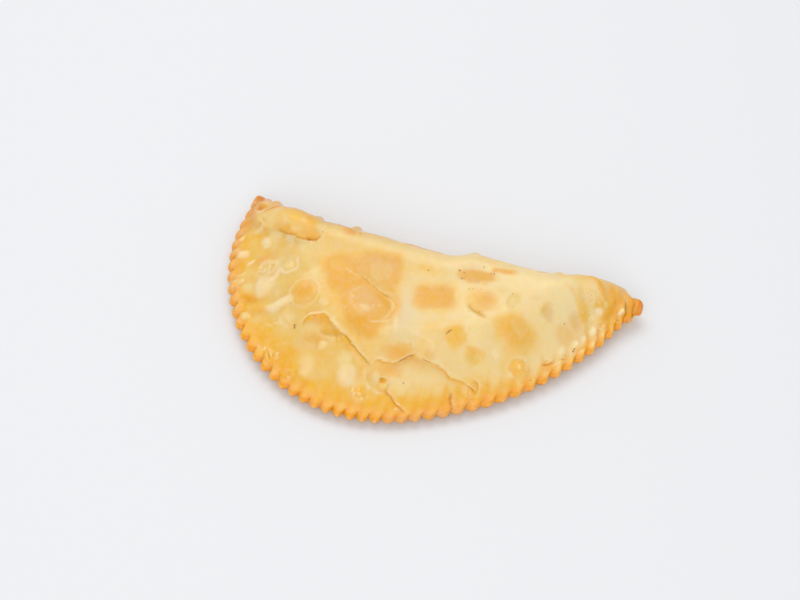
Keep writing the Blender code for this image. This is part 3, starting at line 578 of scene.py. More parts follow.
# Waviness: strength in millimetres or as a share, wavelength in millimetres, and seed
WAVER_X = ((0.28, 5.0, 11), (0.12, 1.8, 12))
WAVER_Y = ((0.28, 5.0, 13), (0.12, 1.8, 14))
BULGE_X = ((0.65, 11.0, 15), (0.14, 3.6, 16))
BULGE_Y = ((0.65, 11.0, 17), (0.14, 3.6, 18))
TOP_WAVES = ((0.16, 15.0, 30), (0.05, 6.5, 31))
TOP_GRAIN = ((0.008, 2.6, 32),)
PUCKER_WAVES = ((0.13, 9.0, 33), (0.05, 4.5, 34))
UNDER_WAVES = ((0.10, 12.0, 41), (0.04, 5.0, 42))
MOTTLE_WAVES = ((1.0, 26.0, 61), (0.6, 11.0, 62), (0.3, 4.0, 63))
RIPPLE_WAVES = 9          # sine waves in a ripple
RIPPLE_SCALE = 4.0        # about the most that they add up to

# Small features
LARGE_BUBBLE = 3.5        # length from which a bubble is uneven in outline
POPPED_RIM = 0.20         # half width of a popped blister's rim, as a share of its radius
LIP_HEIGHT = 0.4          # of a crack's depth that the lip beside it stands up
LIP_PLACE = 2.4           # half widths from the crack to its lip
LIP_WIDTH = 1.6           # half widths
LIP_HIGHLIGHT_PLACE = 2.6      # the same for the painted highlight on the lip
LIP_HIGHLIGHT_WIDTH = 1.3
MOAT_DEPTH = 0.12         # of a bubble's height, for the low ring around it
MOAT_PLACE = 1.12
MOAT_WIDTH = 0.14
BUBBLE_CROWD = 2.6        # how densely bubbles lie in a popped blister
BUBBLE_HEIGHT = 0.26      # of a bubble 1 mm long
FROTH_SHARE = 0.75        # of those bubbles that are pale
UNDER_COLOURS = (PALE, AMBER, PALE, GOLD)

# Distance from the edge, in metres, over which the relief sets in
MAIN_FADE = (0.0005, 0.006)
TOP_FADE = (0.0, 0.002)
UNDER_FADE = (0.0, 0.004)

# Drift of the finish over the crust: noise scale and detail, lowest and highest value
SATURATION_DRIFT = (330.0, 3.0, 0.94, 1.06)
BRIGHTNESS_DRIFT = (1100.0, 2.0, 0.985, 1.015)
ROUGHNESS_DRIFT = (240.0, 3.0, 0.30, 0.50)
GRAIN_NOISE = (700.0, 3.0)


def ease(value, start, end):
    """Smooth rise from 0 at start to 1 at end."""
    t = np.clip((value - start) / (end - start), 0.0, 1.0)
    return t * t * (3.0 - 2.0 * t)


def quarter_round(value):
    """Quarter of a circle: 0 at 0, rising steeply at first and level at 1."""
    return np.sqrt(1.0 - (1.0 - np.clip(value, 0.0, 1.0)) ** 2)


def bell(value, width):
    """Soft bump: 1 where the value is 0, falling off over the width to both sides."""
    return np.exp(-(value / width) ** 2)


def curve_through(knots, x):
    """Height at x of a smooth curve through a few (x, height) knots."""
    knot_x, knot_y = np.array(knots, float).T
    slope = np.gradient(knot_y, knot_x)
    i = np.clip(np.searchsorted(knot_x, x) - 1, 0, len(knots) - 2)
    span = knot_x[i + 1] - knot_x[i]
    t = np.clip((x - knot_x[i]) / span, 0.0, 1.0)
    straight = knot_y[i] + (knot_y[i + 1] - knot_y[i]) * ease(t, 0.0, 1.0)
    return straight + span * t * (1.0 - t) * (slope[i] * (1.0 - t) - slope[i + 1] * t)


def outline(tooth):
    """Seam point, outward direction and fold point at each place along the seam, in teeth."""
    turn = np.linspace(0.0, math.pi, TABLE_POINTS)
    radius = HALF_LENGTH + BELLY_DEPTH * np.sin(turn) - BELLY_SKEW * np.sin(2 * turn)
    radius -= BELLY_SWELL * np.sin(3 * turn) + SEAM_WAVER * np.cos(5 * turn)
    radius -= FLAT_DEPTH * bell(np.degrees(turn) - FLAT_PLACE, FLAT_WIDTH)
    line = np.stack([radius * np.cos(turn), -radius * np.sin(turn)], -1)
    step = np.gradient(line, axis=0)
    length = np.hypot(step[:, 0], step[:, 1])
    arc = np.cumsum(length) - length[0]
    arc /= arc[-1]
    share = tooth / TEETH
    waves = sum(size * np.sin((n + 1) * math.pi * share)
                for n, size in enumerate(PITCH_DRIFT))
    share = np.clip(share + waves / TEETH, 0.0, 1.0)
    seam = np.stack([np.interp(share, arc, line[:, axis]) for axis in (0, 1)], -1)
    across = np.stack([-step[:, 1], step[:, 0]], -1) / length[:, None]
    outward = np.stack([np.interp(share, arc, across[:, axis]) for axis in (0, 1)], -1)
    fold_x = line[0, 0] + (line[-1, 0] - line[0, 0]) * share
    even_x = HALF_LENGTH * (1.0 - 2.0 * share)
    to_tip = HALF_LENGTH + even_x
    knob = KNOB_HEIGHT * quarter_round(4 * to_tip / KNOB_LENGTH)
    knob *= ease(to_tip, KNOB_LENGTH, KNOB_LENGTH / 3)
    fold = np.stack([fold_x, curve_through(FOLD_LINE, even_x / MM) * MM + knob], -1)
    return share, seam, outward, fold


def notch_depth(tooth):
    """0 at the tip of a tooth and -1 between two teeth. The ends of the seam have no notches."""
    from_tip = 2.0 * np.abs(tooth - np.round(tooth))
    ends = ease(tooth, *NOTCH_START) * ease(TEETH - tooth, *NOTCH_START)
    return -from_tip ** TOOTH_ROUND * ends


def rounded_tips(plan):
    """The plan with the corners at both tips rounded off, and without a shoulder beside them."""
    for centre_x, centre_y, radius in TIP_ROUNDS:
        centre = np.array([centre_x * MM, centre_y * MM])
        offset = plan - centre
        beyond = offset[:, 0] * np.sign(centre_x)
        excess = np.where(beyond <= 0.0, np.maximum(offset[:, 1] - radius * MM, 0.0), 0.0)
        offset[:, 1] -= excess * ease(beyond, -TIP_BEND, 0.0)
        reach = np.maximum(np.linalg.norm(offset, axis=1), WELD)
        corner = (offset[:, 0] * centre_x > 0.0) & (offset[:, 1] > 0.0)
        shrink = np.where(corner, np.minimum(1.0, radius * MM / reach), 1.0)
        plan = centre + offset * shrink[:, None]
    return plan


def crust_form(tooth, ring):
    """Smooth puffed crust. Ring is 0 at the seam, 1 at the fold, 2 back at the seam from below."""
    share, seam, outward, fold = outline(tooth)
    across = np.where(ring <= 1.0, ring, 2.0 - ring)
    width = np.hypot(fold[:, 0] - seam[:, 0], fold[:, 1] - seam[:, 1])
    rim = np.minimum(RIM_REACH, RIM_SHARE * width)
    inset = rim * (1.0 - (1.0 - np.clip(across / RIM_ROWS, 0.0, 1.0)) ** 2)
    onward = np.clip((across - BELLY_START) / (1.0 - BELLY_START), 0.0, 1.0)
    inset += (width - rim) * (0.5 - 0.5 * np.cos(math.pi * onward))
    to_fold = width - inset

    notch = notch_depth(tooth)
    plan = seam + (fold - seam) * (inset / np.maximum(width, WELD))[:, None]
    depth = TOOTH_DEPTH * (0.5 + 0.5 * ease(share, 0.92, 0.72))
    depth *= 1.0 + TOOTH_UNEVEN * (np.sin(40.0 * share) + np.sin(97.0 * share))
    depth *= 1.0 - TOOTH_SHALLOW * bell(share - SHALLOW_PLACE, SHALLOW_WIDTH)
    plan += outward * (notch * depth * (1.0 - ease(inset, 0.0, RIM_REACH)))[:, None]
    plan = rounded_tips(plan)

    half = SEAM_THICKNESS / 2
    middle = SEAM_HEIGHT + SEAM_RISE * np.sin(9.0 * share + 1.0)
    fold_height = FOLD_HEIGHT - LEFT_TIP_DROP * ease(share, 0.93, 1.0)
    middle += (fold_height - middle) * ease(to_fold, FOLD_RISE_REACH, 0.0)
    swell = quarter_round(to_fold / FOLD_ROUND)
    thickness = quarter_round(inset / EDGE_ROUND) * quarter_round(to_fold / FOLD_EDGE)
    reach = FLUTE_REACH + (TIP_FLUTE_REACH - FLUTE_REACH) * ease(share, 0.22, 0.0)
    flute = FLUTE_HEIGHT * (0.3 + 0.7 * ease(share, 0.50, 0.25)) * (1.0 + 2.0 * notch)
    flute *= ease(inset, reach, 0.0)
    puff = PUFF * swell * ease(inset, SWELL_START, PUFF_REACH)
    sag = SAG * swell * ease(inset, SWELL_START, SAG_REACH)
    top = middle + (half + flute) * thickness + puff
    under = middle - (half + 0.5 * flute) * thickness - sag
    height = np.where(ring <= 1.0, top, np.maximum(under, 0.0))
    return np.column_stack([plan, height]), inset, to_fold


def oval(x, y, centre_x, centre_y, length, width, turn, power=2.0):
    """Distance from the middle of an oval, 1 at its edge. It is squarer with a higher power."""
    c, s = math.cos(math.radians(turn)), math.sin(math.radians(turn))
    along = (c * (x - centre_x) + s * (y - centre_y)) / (length / 2)
    aside = (c * (y - centre_y) - s * (x - centre_x)) / (width / 2)
    return (np.abs(along) ** power + np.abs(aside) ** power) ** (1.0 / power)


def swelling(across, power=1.5):
    """Height of a blister as a share: 1 in its middle, and 0 from its edge outwards."""
    return np.clip(1.0 - across ** 2, 0.0, 1.0) ** power


def dome(x, y, centre_x, centre_y, length, width, turn, height):
    """Round or oval rise with a soft foot, in the units of x and y."""
    return height * swelling(oval(x, y, centre_x, centre_y, length, width, turn))


def path_distance(x, y, path):
    """Distance to a path of straight pieces, on which side of it (1 is to the left of its course,
    -1 to the right), and how far along it the nearer of its ends is."""
    aways, sides, alongs = [], [], []
    run = 0.0
    for (x0, y0), (x1, y1) in zip(path[:-1], path[1:]):
        dx, dy = x1 - x0, y1 - y0
        length = math.hypot(dx, dy)
        t = np.clip(((x - x0) * dx + (y - y0) * dy) / length ** 2, 0.0, 1.0)
        aways.append(np.hypot(x - x0 - t * dx, y - y0 - t * dy))
        sides.append(np.sign(dx * (y - y0) - dy * (x - x0)))
        alongs.append(run + t * length)
        run += length
    closest = np.argmin(aways, axis=0)[None]
    nearest = np.min(aways, axis=0)
    side = np.take_along_axis(np.array(sides), closest, 0)[0]
    share = np.exp((nearest - aways) / BEND_BLEND)
    along = (share * alongs).sum(axis=0) / share.sum(axis=0)
    return nearest, side, np.minimum(along, run - along)


def inside(x, y, corners):
    """Distance to the edge of a closed outline: above 0 within it, below 0 outside."""
    away, _, _ = path_distance(x, y, corners + corners[:1])
    within = np.zeros(len(x), bool)
    for (x0, y0), (x1, y1) in zip(corners, corners[1:] + corners[:1]):
        crosses = (y0 > y) != (y1 > y)
        within ^= crosses & (x < x0 + (x1 - x0) * (y - y0) / (y1 - y0 if y1 != y0 else 1.0))
    return np.where(within, away, -away)


def ripple(x, y, wave, seed):
    """Even, aimless waviness between about -1 and 1, of one wavelength in the units of x and y."""
    draw = np.random.default_rng(seed)
    total = np.zeros(len(x))
    for _ in range(RIPPLE_WAVES):
        turn, phase = draw.uniform(0.0, 2 * math.pi, 2)
        pace = 2 * math.pi / (wave * draw.uniform(0.7, 1.4))
        total += np.sin(pace * (x * math.cos(turn) + y * math.sin(turn)) + phase)
    return total / RIPPLE_SCALE


def ripples(x, y, rows):
    """Ripples on top of each other, each row with a strength, a wavelength and a seed."""
    return sum(strength * ripple(x, y, wave, seed) for strength, wave, seed in rows)


def near(x, y, path, reach):
    """Which points lie within reach of the box around a path."""
    px, py = np.array(path).T
    beside = (x > px.min() - reach) & (x < px.max() + reach)
    return beside & (y > py.min() - reach) & (y < py.max() + reach)


def near_path(x, y, path, reach):
    """Which points lie within reach of a path, and what path_distance says of them."""
    here = near(x, y, path, reach)
    return here, *path_distance(x[here], y[here], path)


def near_oval(x, y, centre_x, centre_y, length, width, turn, reach, power=2.0):
    """Which points lie within reach of an oval's middle, and what oval says of them."""
    here = near(x, y, ((centre_x, centre_y),), reach)
    return here, oval(x[here], y[here], centre_x, centre_y, length, width, turn, power)


def near_bubble(wavy, bulgy, centre_x, centre_y, length, width, turn, reach):
    """Like near_oval, at the bulging places for a large bubble and the wavering ones for a small
    one. The reach is a share of its larger measure."""
    x, y = bulgy if length > LARGE_BUBBLE else wavy
    return near_oval(x, y, centre_x, centre_y, length, width, turn, reach * max(length, width))


def top_relief(x, y):
    """The solid's main relief on top, in millimetres."""
    away, _, _ = path_distance(x, y, ROLL_LINE)
    relief = ROLL_HEIGHT * swelling(away / ROLL_RADIUS, 1.0)
    relief += dome(x, y, *ROLL_HOLLOW) * ease(away - ROLL_RADIUS, -2.0, 1.5)
    for path, step, reach in STEPS:
        away, side, to_end = path_distance(x, y, path)
        lower = -step * np.exp(-away / reach) * ease(side * away, 0.0, -STEP_SLOPE)
        lip = STEP_LIP * step * bell(away, STEP_LIP_WIDTH)
        relief += (lower + lip) * ease(to_end, 0.0, STEP_FADE)
    for path, half_width, height in RIDGES:
        away, _, _ = path_distance(x, y, path)
        relief += height * bell(away, half_width)
    for blister in BLISTERS:
        relief += dome(x, y, *blister)
    return relief


def back_relief(x, y):
    """Height of the small puffs along the back of the fold, in millimetres."""
    off = y - curve_through(FOLD_LINE, x)
    return sum(dome(x, off, place, 0.0, length, FOLD_PUFF_WIDTH, 0.0, height)
               for place, length, height in FOLD_PUFFS)


def under_relief(x, y):
    """Depth of the hollows in the underside, in millimetres."""
    return sum(dome(x, y, *hollow[:4], 0.0, -hollow[4]) for hollow in HOLLOWS)


def wavering(x, y):
    """The same places, pushed about a little, so that cracks and wrinkles waver."""
    return x + ripples(x, y, WAVER_X), y + ripples(x, y, WAVER_Y)


def bulging(x, y):
    """The same places, pushed about more, so that blisters and patches are uneven in outline."""
    return x + ripples(x, y, BULGE_X), y + ripples(x, y, BULGE_Y)


def popped_bubbles():
    """The little bubbles of the popped blisters, as rows like those of BUBBLES."""
    rows = []
    for number, (centre_x, centre_y, radius, largest, paleness, _, _) in enumerate(POPPED):
        draw = np.random.default_rng(100 + number)
        for _ in range(int(BUBBLE_CROWD * (radius / largest) ** 2)):
            angle, away = draw.uniform(0.0, 2 * math.pi), radius * draw.uniform(0.0, 1.0) ** 0.5
            size = largest * draw.uniform(0.45, 1.0)
            place = centre_x + away * math.cos(angle), centre_y + away * math.sin(angle)
            colour = FROTH_AND_GLINT if draw.random() < FROTH_SHARE else HONEY
            width, turn = size * draw.uniform(0.6, 1.0), draw.uniform(0, 180)
            rows.append((*place, size, width, turn, BUBBLE_HEIGHT * size ** 0.5, colour,
                         paleness * draw.uniform(0.5, 1.0)))
    return rows


def puckers(x, y):
    """Shallow puckering of the crust towards the left, in millimetres."""
    return ease(x, -38.0, -76.0) * ripples(x, y, PUCKER_WAVES)


def fine_top(x, y):
    """What is finer than the solid's relief on top: cracks, wrinkles, bubbles and unevenness."""
    busy = 0.4 + 0.6 * ease(x, 10.0, -45.0) + 0.6 * ease(y, -62.0, -85.0)
    relief = busy * ripples(x, y, TOP_WAVES) + ripples(x, y, TOP_GRAIN) + puckers(x, y)
    wx, wy = wavering(x, y)
    for path, half_width, depth, _, lip, _ in CRACKS:
        here, away, side, to_end = near_path(wx, wy, path, 6 * half_width + 2)
        off = side * away * lip - LIP_PLACE * half_width
        shape = LIP_HEIGHT * bell(off, LIP_WIDTH * half_width) - bell(away, half_width)
        relief[here] += depth * shape * ease(to_end, -1.0, CRACK_FADE)
    for path, half_width, height, _ in WRINKLES:
        here, away, _, to_end = near_path(wx, wy, path, 3 * half_width)
        patchy = np.clip(0.7 + 0.6 * ripple(x[here], y[here], 5.0, 19), 0.1, 1.2)
        shape = patchy * bell(away, half_width)
        relief[here] += height * shape * ease(to_end, -0.5, CRACK_FADE)
    bulgy = bulging(x, y)
    for *bubble, height, _, _ in BUBBLES + POPPED_BUBBLES:
        here, across = near_bubble((wx, wy), bulgy, *bubble, 0.75)
        moat = MOAT_DEPTH * bell(across - MOAT_PLACE, MOAT_WIDTH)
        relief[here] += height * (swelling(across) - moat)
    for centre_x, centre_y, radius, _, _, _, rim in POPPED:
        across = oval(wx, wy, centre_x, centre_y, 2 * radius, 2 * radius, 0)
        relief += rim * (0.25 * bell(across - 1.0, POPPED_RIM) - 0.20 * ease(across, 1.0, 0.6))
    return relief


def small_blisters(seed, count, low, high):
    """Seeded scatter of small blisters over the plan: place, length, width, turn and height."""
    draw = np.random.default_rng(seed)
    rows = []
    for _ in range(count):
        size = low + (high - low) * draw.random() ** 2.2
        width = size * draw.uniform(0.75, 1.0)
        place = draw.uniform(-98, 98), draw.uniform(-104, 2)
        turn, height = draw.uniform(0, 180), draw.uniform(0.10, 0.22) * size ** 0.5
        rows.append((*place, size, width, turn, height))
    return rows


POPPED_BUBBLES = tuple(popped_bubbles())
UNDER_BLISTERS = small_blisters(seed=5, count=300, low=2.0, high=11.0)


def fine_under(x, y):
    """Blisters and unevenness of the underside, in millimetres."""
    relief = ripples(x, y, UNDER_WAVES)
    bx, by = bulging(x, y)
    for *blister, height in UNDER_BLISTERS:
        here, across = near_oval(bx, by, *blister, 0.7 * blister[2])
        relief[here] += height * swelling(across, 1.0)
    return relief


def outward_normals(tooth, ring):
    """Direction out of the smooth crust at each place, from two short steps along it."""
    ahead, behind = (crust_form(np.clip(tooth + step, 0, TEETH), ring)[0] for step in (STEP, -STEP))
    above, below = (crust_form(tooth, np.clip(ring + step, 0, 2))[0] for step in (STEP, -STEP))
    normal = np.cross(above - below, ahead - behind)
    return normal / np.maximum(np.linalg.norm(normal, axis=1), 1e-12)[:, None]


def blend(tint, *steps):
    """Moves each tint towards one colour after another, by the amount that goes with the colour."""
    for colour, amount in steps:
        tint = tint + (np.array(colour) - tint) * np.clip(amount, 0.0, 1.0)[:, None]
    return tint


def lay_patches(tint, x, y, rows, power, limit):
    """Lays soft ovals of colour over the tints, each by its strength times the limit at a point."""
    for colour, centre_x, centre_y, length, width, turn, soft, strength in rows:
        reach = (0.5 + 0.5 * soft) * max(length, width) + 1.0
        here, across = near_oval(x, y, centre_x, centre_y, length, width, turn, reach, power)
        amount = strength * limit[here] * ease(across, 1.0 + soft, 1.0 - soft)
        tint[here] = blend(tint[here], (colour, amount))


def lay_bubbles(tint, x, y):
    """Colours of the blisters on top, the popped ones with their bubbles and rims too."""
    wavy, bulgy = wavering(x, y), bulging(x, y)
    for *centre, radius, _, _, colour, rim in POPPED:
        here, across = near_oval(*wavy, *centre, 2 * radius, 2 * radius, 0, 1.5 * radius)
        tint[here] = blend(tint[here], (colour, 0.7 * ease(across, 1.3, 0.6)),
                           (WHITE, 0.5 * rim * bell(across - 1.0, POPPED_RIM)))
    for *bubble, _, colour, strength in BUBBLES + POPPED_BUBBLES:
        here, across = near_bubble(wavy, bulgy, *bubble, 0.7)
        tint[here] = blend(tint[here], (colour, 1.1 * strength * ease(across, 1.25, 0.55)))


def lay_lines(tint, x, y):
    """Colours of wrinkles, bands and cracks, the cracks with painted shade and a painted highlight
    on their lips.
    """
    lines = [(path, half_width, WHITE, 0.80 * paleness, 0.5)
             for path, half_width, _, paleness in WRINKLES]
    lines += [(*band, 1.0) for band in BANDS]
    for path, half_width, colour, strength, overrun in lines:
        here, away, _, to_end = near_path(x, y, path, 3 * half_width)
        fade = ease(to_end, -overrun, CRACK_FADE)
        tint[here] = blend(tint[here], (colour, strength * fade * bell(away, half_width)))
    for path, half_width, _, colour, lip, reach in CRACKS:
        here, away, side, to_end = near_path(x, y, path, 5 * half_width + 2 * reach)
        off = side * away * lip
        fade = ease(to_end, -1.0, CRACK_FADE)
        # Painted shade on a crack's low side, a painted highlight on its lip, and the crack's
        # colour, darkened with painted shade
        shade = ease(off, 0.4, -0.4) * bell(away, reach + half_width)
        lip_highlight = bell(off - LIP_HIGHLIGHT_PLACE * half_width, LIP_HIGHLIGHT_WIDTH * half_width)
        tint[here] = blend(tint[here], (GOLD, 0.6 * fade * shade), (WHITE, 0.35 * fade * lip_highlight),
                           (colour, 0.9 * fade * bell(away, half_width)))


def reach_at(knots, x):
    """How far inwards the browning runs at each x."""
    return curve_through(knots, np.clip(x, knots[0][0], knots[-1][0]))


def tint_top(x, y, inset, to_fold, tooth):
    """Colour of the top crust."""
    wx, wy = wavering(x, y)
    bx, by = bulging(x, y)
    everywhere = np.ones(len(x))
    pucker = puckers(x, y)
    golden = reach_at(GOLD_REACH, x) * (1.0 + 0.25 * ripple(x, y, 18.0, 56))
    tint = blend(
        np.tile(BUTTER, (len(x), 1)),
        (PALE, 0.75 * ease(x, -35.0, 20.0)),
        (PALE, 0.30 * ease(ripple(x, y, 17.0, 54), 0.1, 0.9)),
        (HONEY, 0.20 * ease(ripple(x, y, 11.0, 55), 0.0, 1.0)),
        # Painted shade in the hollows of the puckering and a painted highlight on its tops
        (HONEY, 0.60 * ease(pucker, 0.02, -0.16)),
        (PALE, 0.50 * ease(pucker, 0.02, 0.16)),
        (HONEY, 0.95 * ease(inset, golden, 0.4 * golden)),
        (GOLD, 0.35 * ease(inset, 0.7 * golden, 0.1 * golden)),
        (TOAST, 0.85 * ease(to_fold, 9.0, 1.0)),
        (RUSSET, 0.30 * ease(to_fold, 10.0, 4.0) + 0.20 * ease(to_fold, 3.5, 0.5)))
    lay_patches(tint, bx, by, PATCHES, 2.0, everywhere)
    lay_patches(tint, bx, by, BLOCKS, 3.5, everywhere)
    field = inside(bx, by, GOLD_FIELD)
    tint = blend(tint, (HONEY, 0.40 * ease(field, -4.0, 0.0)),
                 (PEACH, 0.92 * ease(field, -1.8, 2.8)))
    lay_patches(tint, bx, by, FIELD_PARTS, 2.0, ease(field, -0.5, 2.5))
    lay_bubbles(tint, x, y)
    # Lobe is 1 at a tooth's tip and -1 between teeth. The orange runs further in and deeper between
    # the teeth: painted shade in the grooves
    lobe = np.cos(2 * math.pi * tooth)
    amber = reach_at(AMBER_REACH, x) * (1.0 - 0.4 * lobe + 0.2 * ripple(x, y, 9.0, 53))
    left_tip = ease(x, -80.0, -93.0) * (0.5 + 0.5 * ease(y, -38.0, -24.0))
    # Where the seam at the lower right lies in shade: its russet is painted shade
    shaded_low_right = ease(x, -5.0, 8.0) * ease(x, 48.0, 34.0)
    tint = blend(
        tint,
        (GOLD, 0.60 * ease(inset, 1.8 * amber, 0.8 * amber)),
        (AMBER, (0.85 - 0.10 * lobe) * ease(inset, amber, 0.15 * amber)),
        # Painted glint along the tips of the teeth
        (FROTH_AND_GLINT, 0.35 * ease(inset, 1.0, 0.2) * ease(lobe, 0.4, 0.95)),
        (RUSSET, 0.80 * ease(inset, 2.0 * amber, 0.5 * amber) * left_tip),
        # Painted shade over the seam at the lower right
        (RUSSET, 0.45 * ease(inset, 4.5, 1.0) * shaded_low_right))
    lay_lines(tint, wx, wy)
    for centre_x, centre_y, size in FLECKS:
        here = near(x, y, ((centre_x, centre_y),), size)
        away = np.hypot(wx[here] - centre_x, wy[here] - centre_y)
        amount = 0.9 * min(size, 1.0) * ease(away, 0.6 * size, 0.25 * size)
        tint[here] = blend(tint[here], (SCORCH, amount))
    return tint


def tint_under(x, y, inset, to_fold):
    """Colour of the underside and of the back of the fold."""
    mottle = ripples(x, y, MOTTLE_WAVES)
    tint = blend(
        np.tile(HONEY, (len(x), 1)),
        (PEACH, ease(mottle, -0.6, 0.4)),
        (AMBER, 0.6 * ease(mottle, 0.2, 1.2)),
        (BUTTER, 0.6 * ease(mottle, -0.4, -1.3)))
    bx, by = bulging(x, y)
    for number, blister in enumerate(UNDER_BLISTERS):
        here, across = near_oval(bx, by, *blister[:5], 0.8 * blister[2])
        colour = UNDER_COLOURS[number % len(UNDER_COLOURS)]
        tint[here] = blend(tint[here], (colour, 0.45 * ease(across, 1.2, 0.8)))
    return blend(
        tint,
        (TOAST, 0.85 * ease(to_fold, 9.0, 1.0)),
        (AMBER, 0.85 * ease(inset, 9.0, 1.0)),
        (RUST, 0.6 * ease(inset, 2.2, 0.0)))


def describe(tube):
    """Place on the part, in metres, and colour of each point of the tube that is bent to shape."""
    tooth = np.clip(tube[:, 0], 0.0, TEETH)
    ring = np.mod(np.arctan2(tube[:, 2], tube[:, 1]) / math.pi, 2.0)
    points, inset, to_fold = crust_form(tooth, ring)
    x, y = points[:, 0] / MM, points[:, 1] / MM
    to_edge = np.minimum(inset, to_fold)
    inset, to_fold = inset / MM, to_fold / MM
    top = ring <= 1.0
    low = ~top
    relief = np.zeros(len(x))
    tint = np.zeros((len(x), 3))
    relief[top] = top_relief(x[top], y[top])
    relief[low] = under_relief(x[low], y[low])
    relief *= ease(to_edge, *MAIN_FADE)
    relief += back_relief(x, y) * np.where(top, 1.0, UNDER_PUFF_SHARE)
    relief[top] += fine_top(x[top], y[top]) * ease(to_edge[top], *TOP_FADE)
    relief[low] += fine_under(x[low], y[low]) * ease(to_edge[low], *UNDER_FADE)
    tint[top] = tint_top(x[top], y[top], inset[top], to_fold[top], tooth[top])
    tint[low] = tint_under(x[low], y[low], inset[low], to_fold[low])
    points += outward_normals(tooth, ring) * (relief * MM)[:, None]
    for place_x, place_y, reach, growth, lean_x, lean_y in TIP_BEADS:
        offset = points - np.array([place_x * MM, place_y * MM, SEAM_HEIGHT])
        close = bell(np.linalg.norm(offset, axis=1), reach * MM)
        points += offset * (growth * close)[:, None]
        points[:, 0] += lean_x * MM * close
        points[:, 1] += lean_y * MM * close
    points[:, 2] = np.maximum(points[:, 2], 0.0)
    points[:, :2] -= BOX_MIDDLE
    return points, tint


def vert_places(bm):
    """Places of all points of a mesh being edited, one row each."""
    return np.array([vert.co for vert in bm.verts])


def looks_at(tube):
    """Places in millimetres and weighted colours, side by side, so that misses add up."""
    points, tint = describe(tube)
    return np.hstack([points / MM, tint * TINT_WEIGHT])


def refine(bm, tolerance):
    """Halves the edges of the faces that miss the crust's form or its colours by more than that."""
    bm.verts.index_update()
    tube = vert_places(bm)
    start, end = np.array([[vert.index for vert in edge.verts] for edge in bm.edges]).T
    looks = looks_at(tube)
    miss = np.zeros(len(start))
    for t in EDGE_CHECKS:
        between = looks_at(tube[start] * (1 - t) + tube[end] * t)
        straight = looks[start] * (1 - t) + looks[end] * t
        miss = np.maximum(miss, np.linalg.norm(between - straight, axis=1))
    faces = {face for edge, gap in zip(bm.edges, miss) if gap > tolerance
             for face in edge.link_faces}
    edges = list({edge for face in faces for edge in face.edges})
    bmesh.ops.subdivide_edges(bm, edges=edges, cuts=1, use_grid_fill=True)


def build_crust():
    """Even tube of faces, refined where the crust is busy, then bent to its form and coloured."""
    bm = bmesh.new()
    rows = TOP_ROWS + UNDER_ROWS
    bmesh.ops.create_grid(bm, x_segments=COLUMNS, y_segments=rows, size=1.0)
    for vert in bm.verts:
        row = (vert.co.y + 1.0) / 2.0 * rows
        ring = row / TOP_ROWS if row <= TOP_ROWS else 1.0 + (row - TOP_ROWS) / UNDER_ROWS
        tooth = (vert.co.x + 1.0) / 2.0 * TEETH
        vert.co = (tooth, TUBE * math.cos(math.pi * ring), TUBE * math.sin(math.pi * ring))
    bmesh.ops.remove_doubles(bm, verts=bm.verts, dist=TUBE_WELD)
    for tolerance in TOLERANCES:
        refine(bm, tolerance)
    points, tint = describe(vert_places(bm))
    for vert, point in zip(bm.verts, points):
        vert.co = point
    mesh = bpy.data.meshes.new("crust")
    bm.to_mesh(mesh)
    bm.free()
    colours = mesh.attributes.new("tint", "FLOAT_COLOR", "POINT")
    colours.data.foreach_set("color", np.column_stack([tint, np.ones(len(tint))]).ravel())
    welded = bmesh.new()
    welded.from_mesh(mesh)
    bmesh.ops.remove_doubles(welded, verts=welded.verts, dist=WELD)
    bmesh.ops.recalc_face_normals(welded, faces=welded.faces)
    welded.to_mesh(mesh)
    welded.free()
    mesh.shade_smooth()
    return mesh


def noise_node(nodes, links, place, scale, detail):
    """Output of a noise over the crust."""
    noise = nodes.new("ShaderNodeTexNoise")
    noise.inputs["Scale"].default_value = scale
    noise.inputs["Detail"].default_value = detail
    links.new(place, noise.inputs["Vector"])
    return noise.outputs["Fac"]


def drift_node(nodes, links, place, scale, detail, low, high):
    """Output that drifts between a low and a high value over the crust."""
    spread = nodes.new("ShaderNodeMapRange")
    spread.inputs["From Min"].default_value = 0.3
    spread.inputs["From Max"].default_value = 0.7
    spread.inputs["To Min"].default_value = low
    spread.inputs["To Max"].default_value = high
    links.new(noise_node(nodes, links, place, scale, detail), spread.inputs["Value"])
    return spread.outputs["Result"]


def crust_material():
    """Oily fried dough: the drawn colours, mottled at two scales, a fine grain, a patchy shine."""
    material = bpy.data.materials.new("crust")
    material.use_nodes = True
    nodes, links = material.node_tree.nodes, material.node_tree.links
    shader = nodes["Principled BSDF"]
    place = nodes.new("ShaderNodeTexCoord").outputs["Object"]
    drawn = nodes.new("ShaderNodeAttribute")
    drawn.attribute_name = "tint"

    mottle = nodes.new("ShaderNodeHueSaturation")
    links.new(drawn.outputs["Color"], mottle.inputs["Color"])
    links.new(mottle.outputs["Color"], shader.inputs["Base Color"])
    for drift, socket in ((SATURATION_DRIFT, mottle.inputs["Saturation"]),
                          (BRIGHTNESS_DRIFT, mottle.inputs["Value"]),
                          (ROUGHNESS_DRIFT, shader.inputs["Roughness"])):
        links.new(drift_node(nodes, links, place, *drift), socket)

    bump = nodes.new("ShaderNodeBump")
    bump.inputs["Strength"].default_value = 0.06
    bump.inputs["Distance"].default_value = 0.0003
    links.new(noise_node(nodes, links, place, *GRAIN_NOISE), bump.inputs["Height"])
    links.new(bump.outputs["Normal"], shader.inputs["Normal"])
    shader.inputs["Subsurface Weight"].default_value = 0.80
    shader.inputs["Subsurface Radius"].default_value = (1.0, 0.55, 0.18)
    shader.inputs["Subsurface Scale"].default_value = 0.0042
    shader.inputs["Specular IOR Level"].default_value = 0.38
    shader.inputs["Coat Weight"].default_value = 0.24
    shader.inputs["Coat Roughness"].default_value = 0.16
    return material


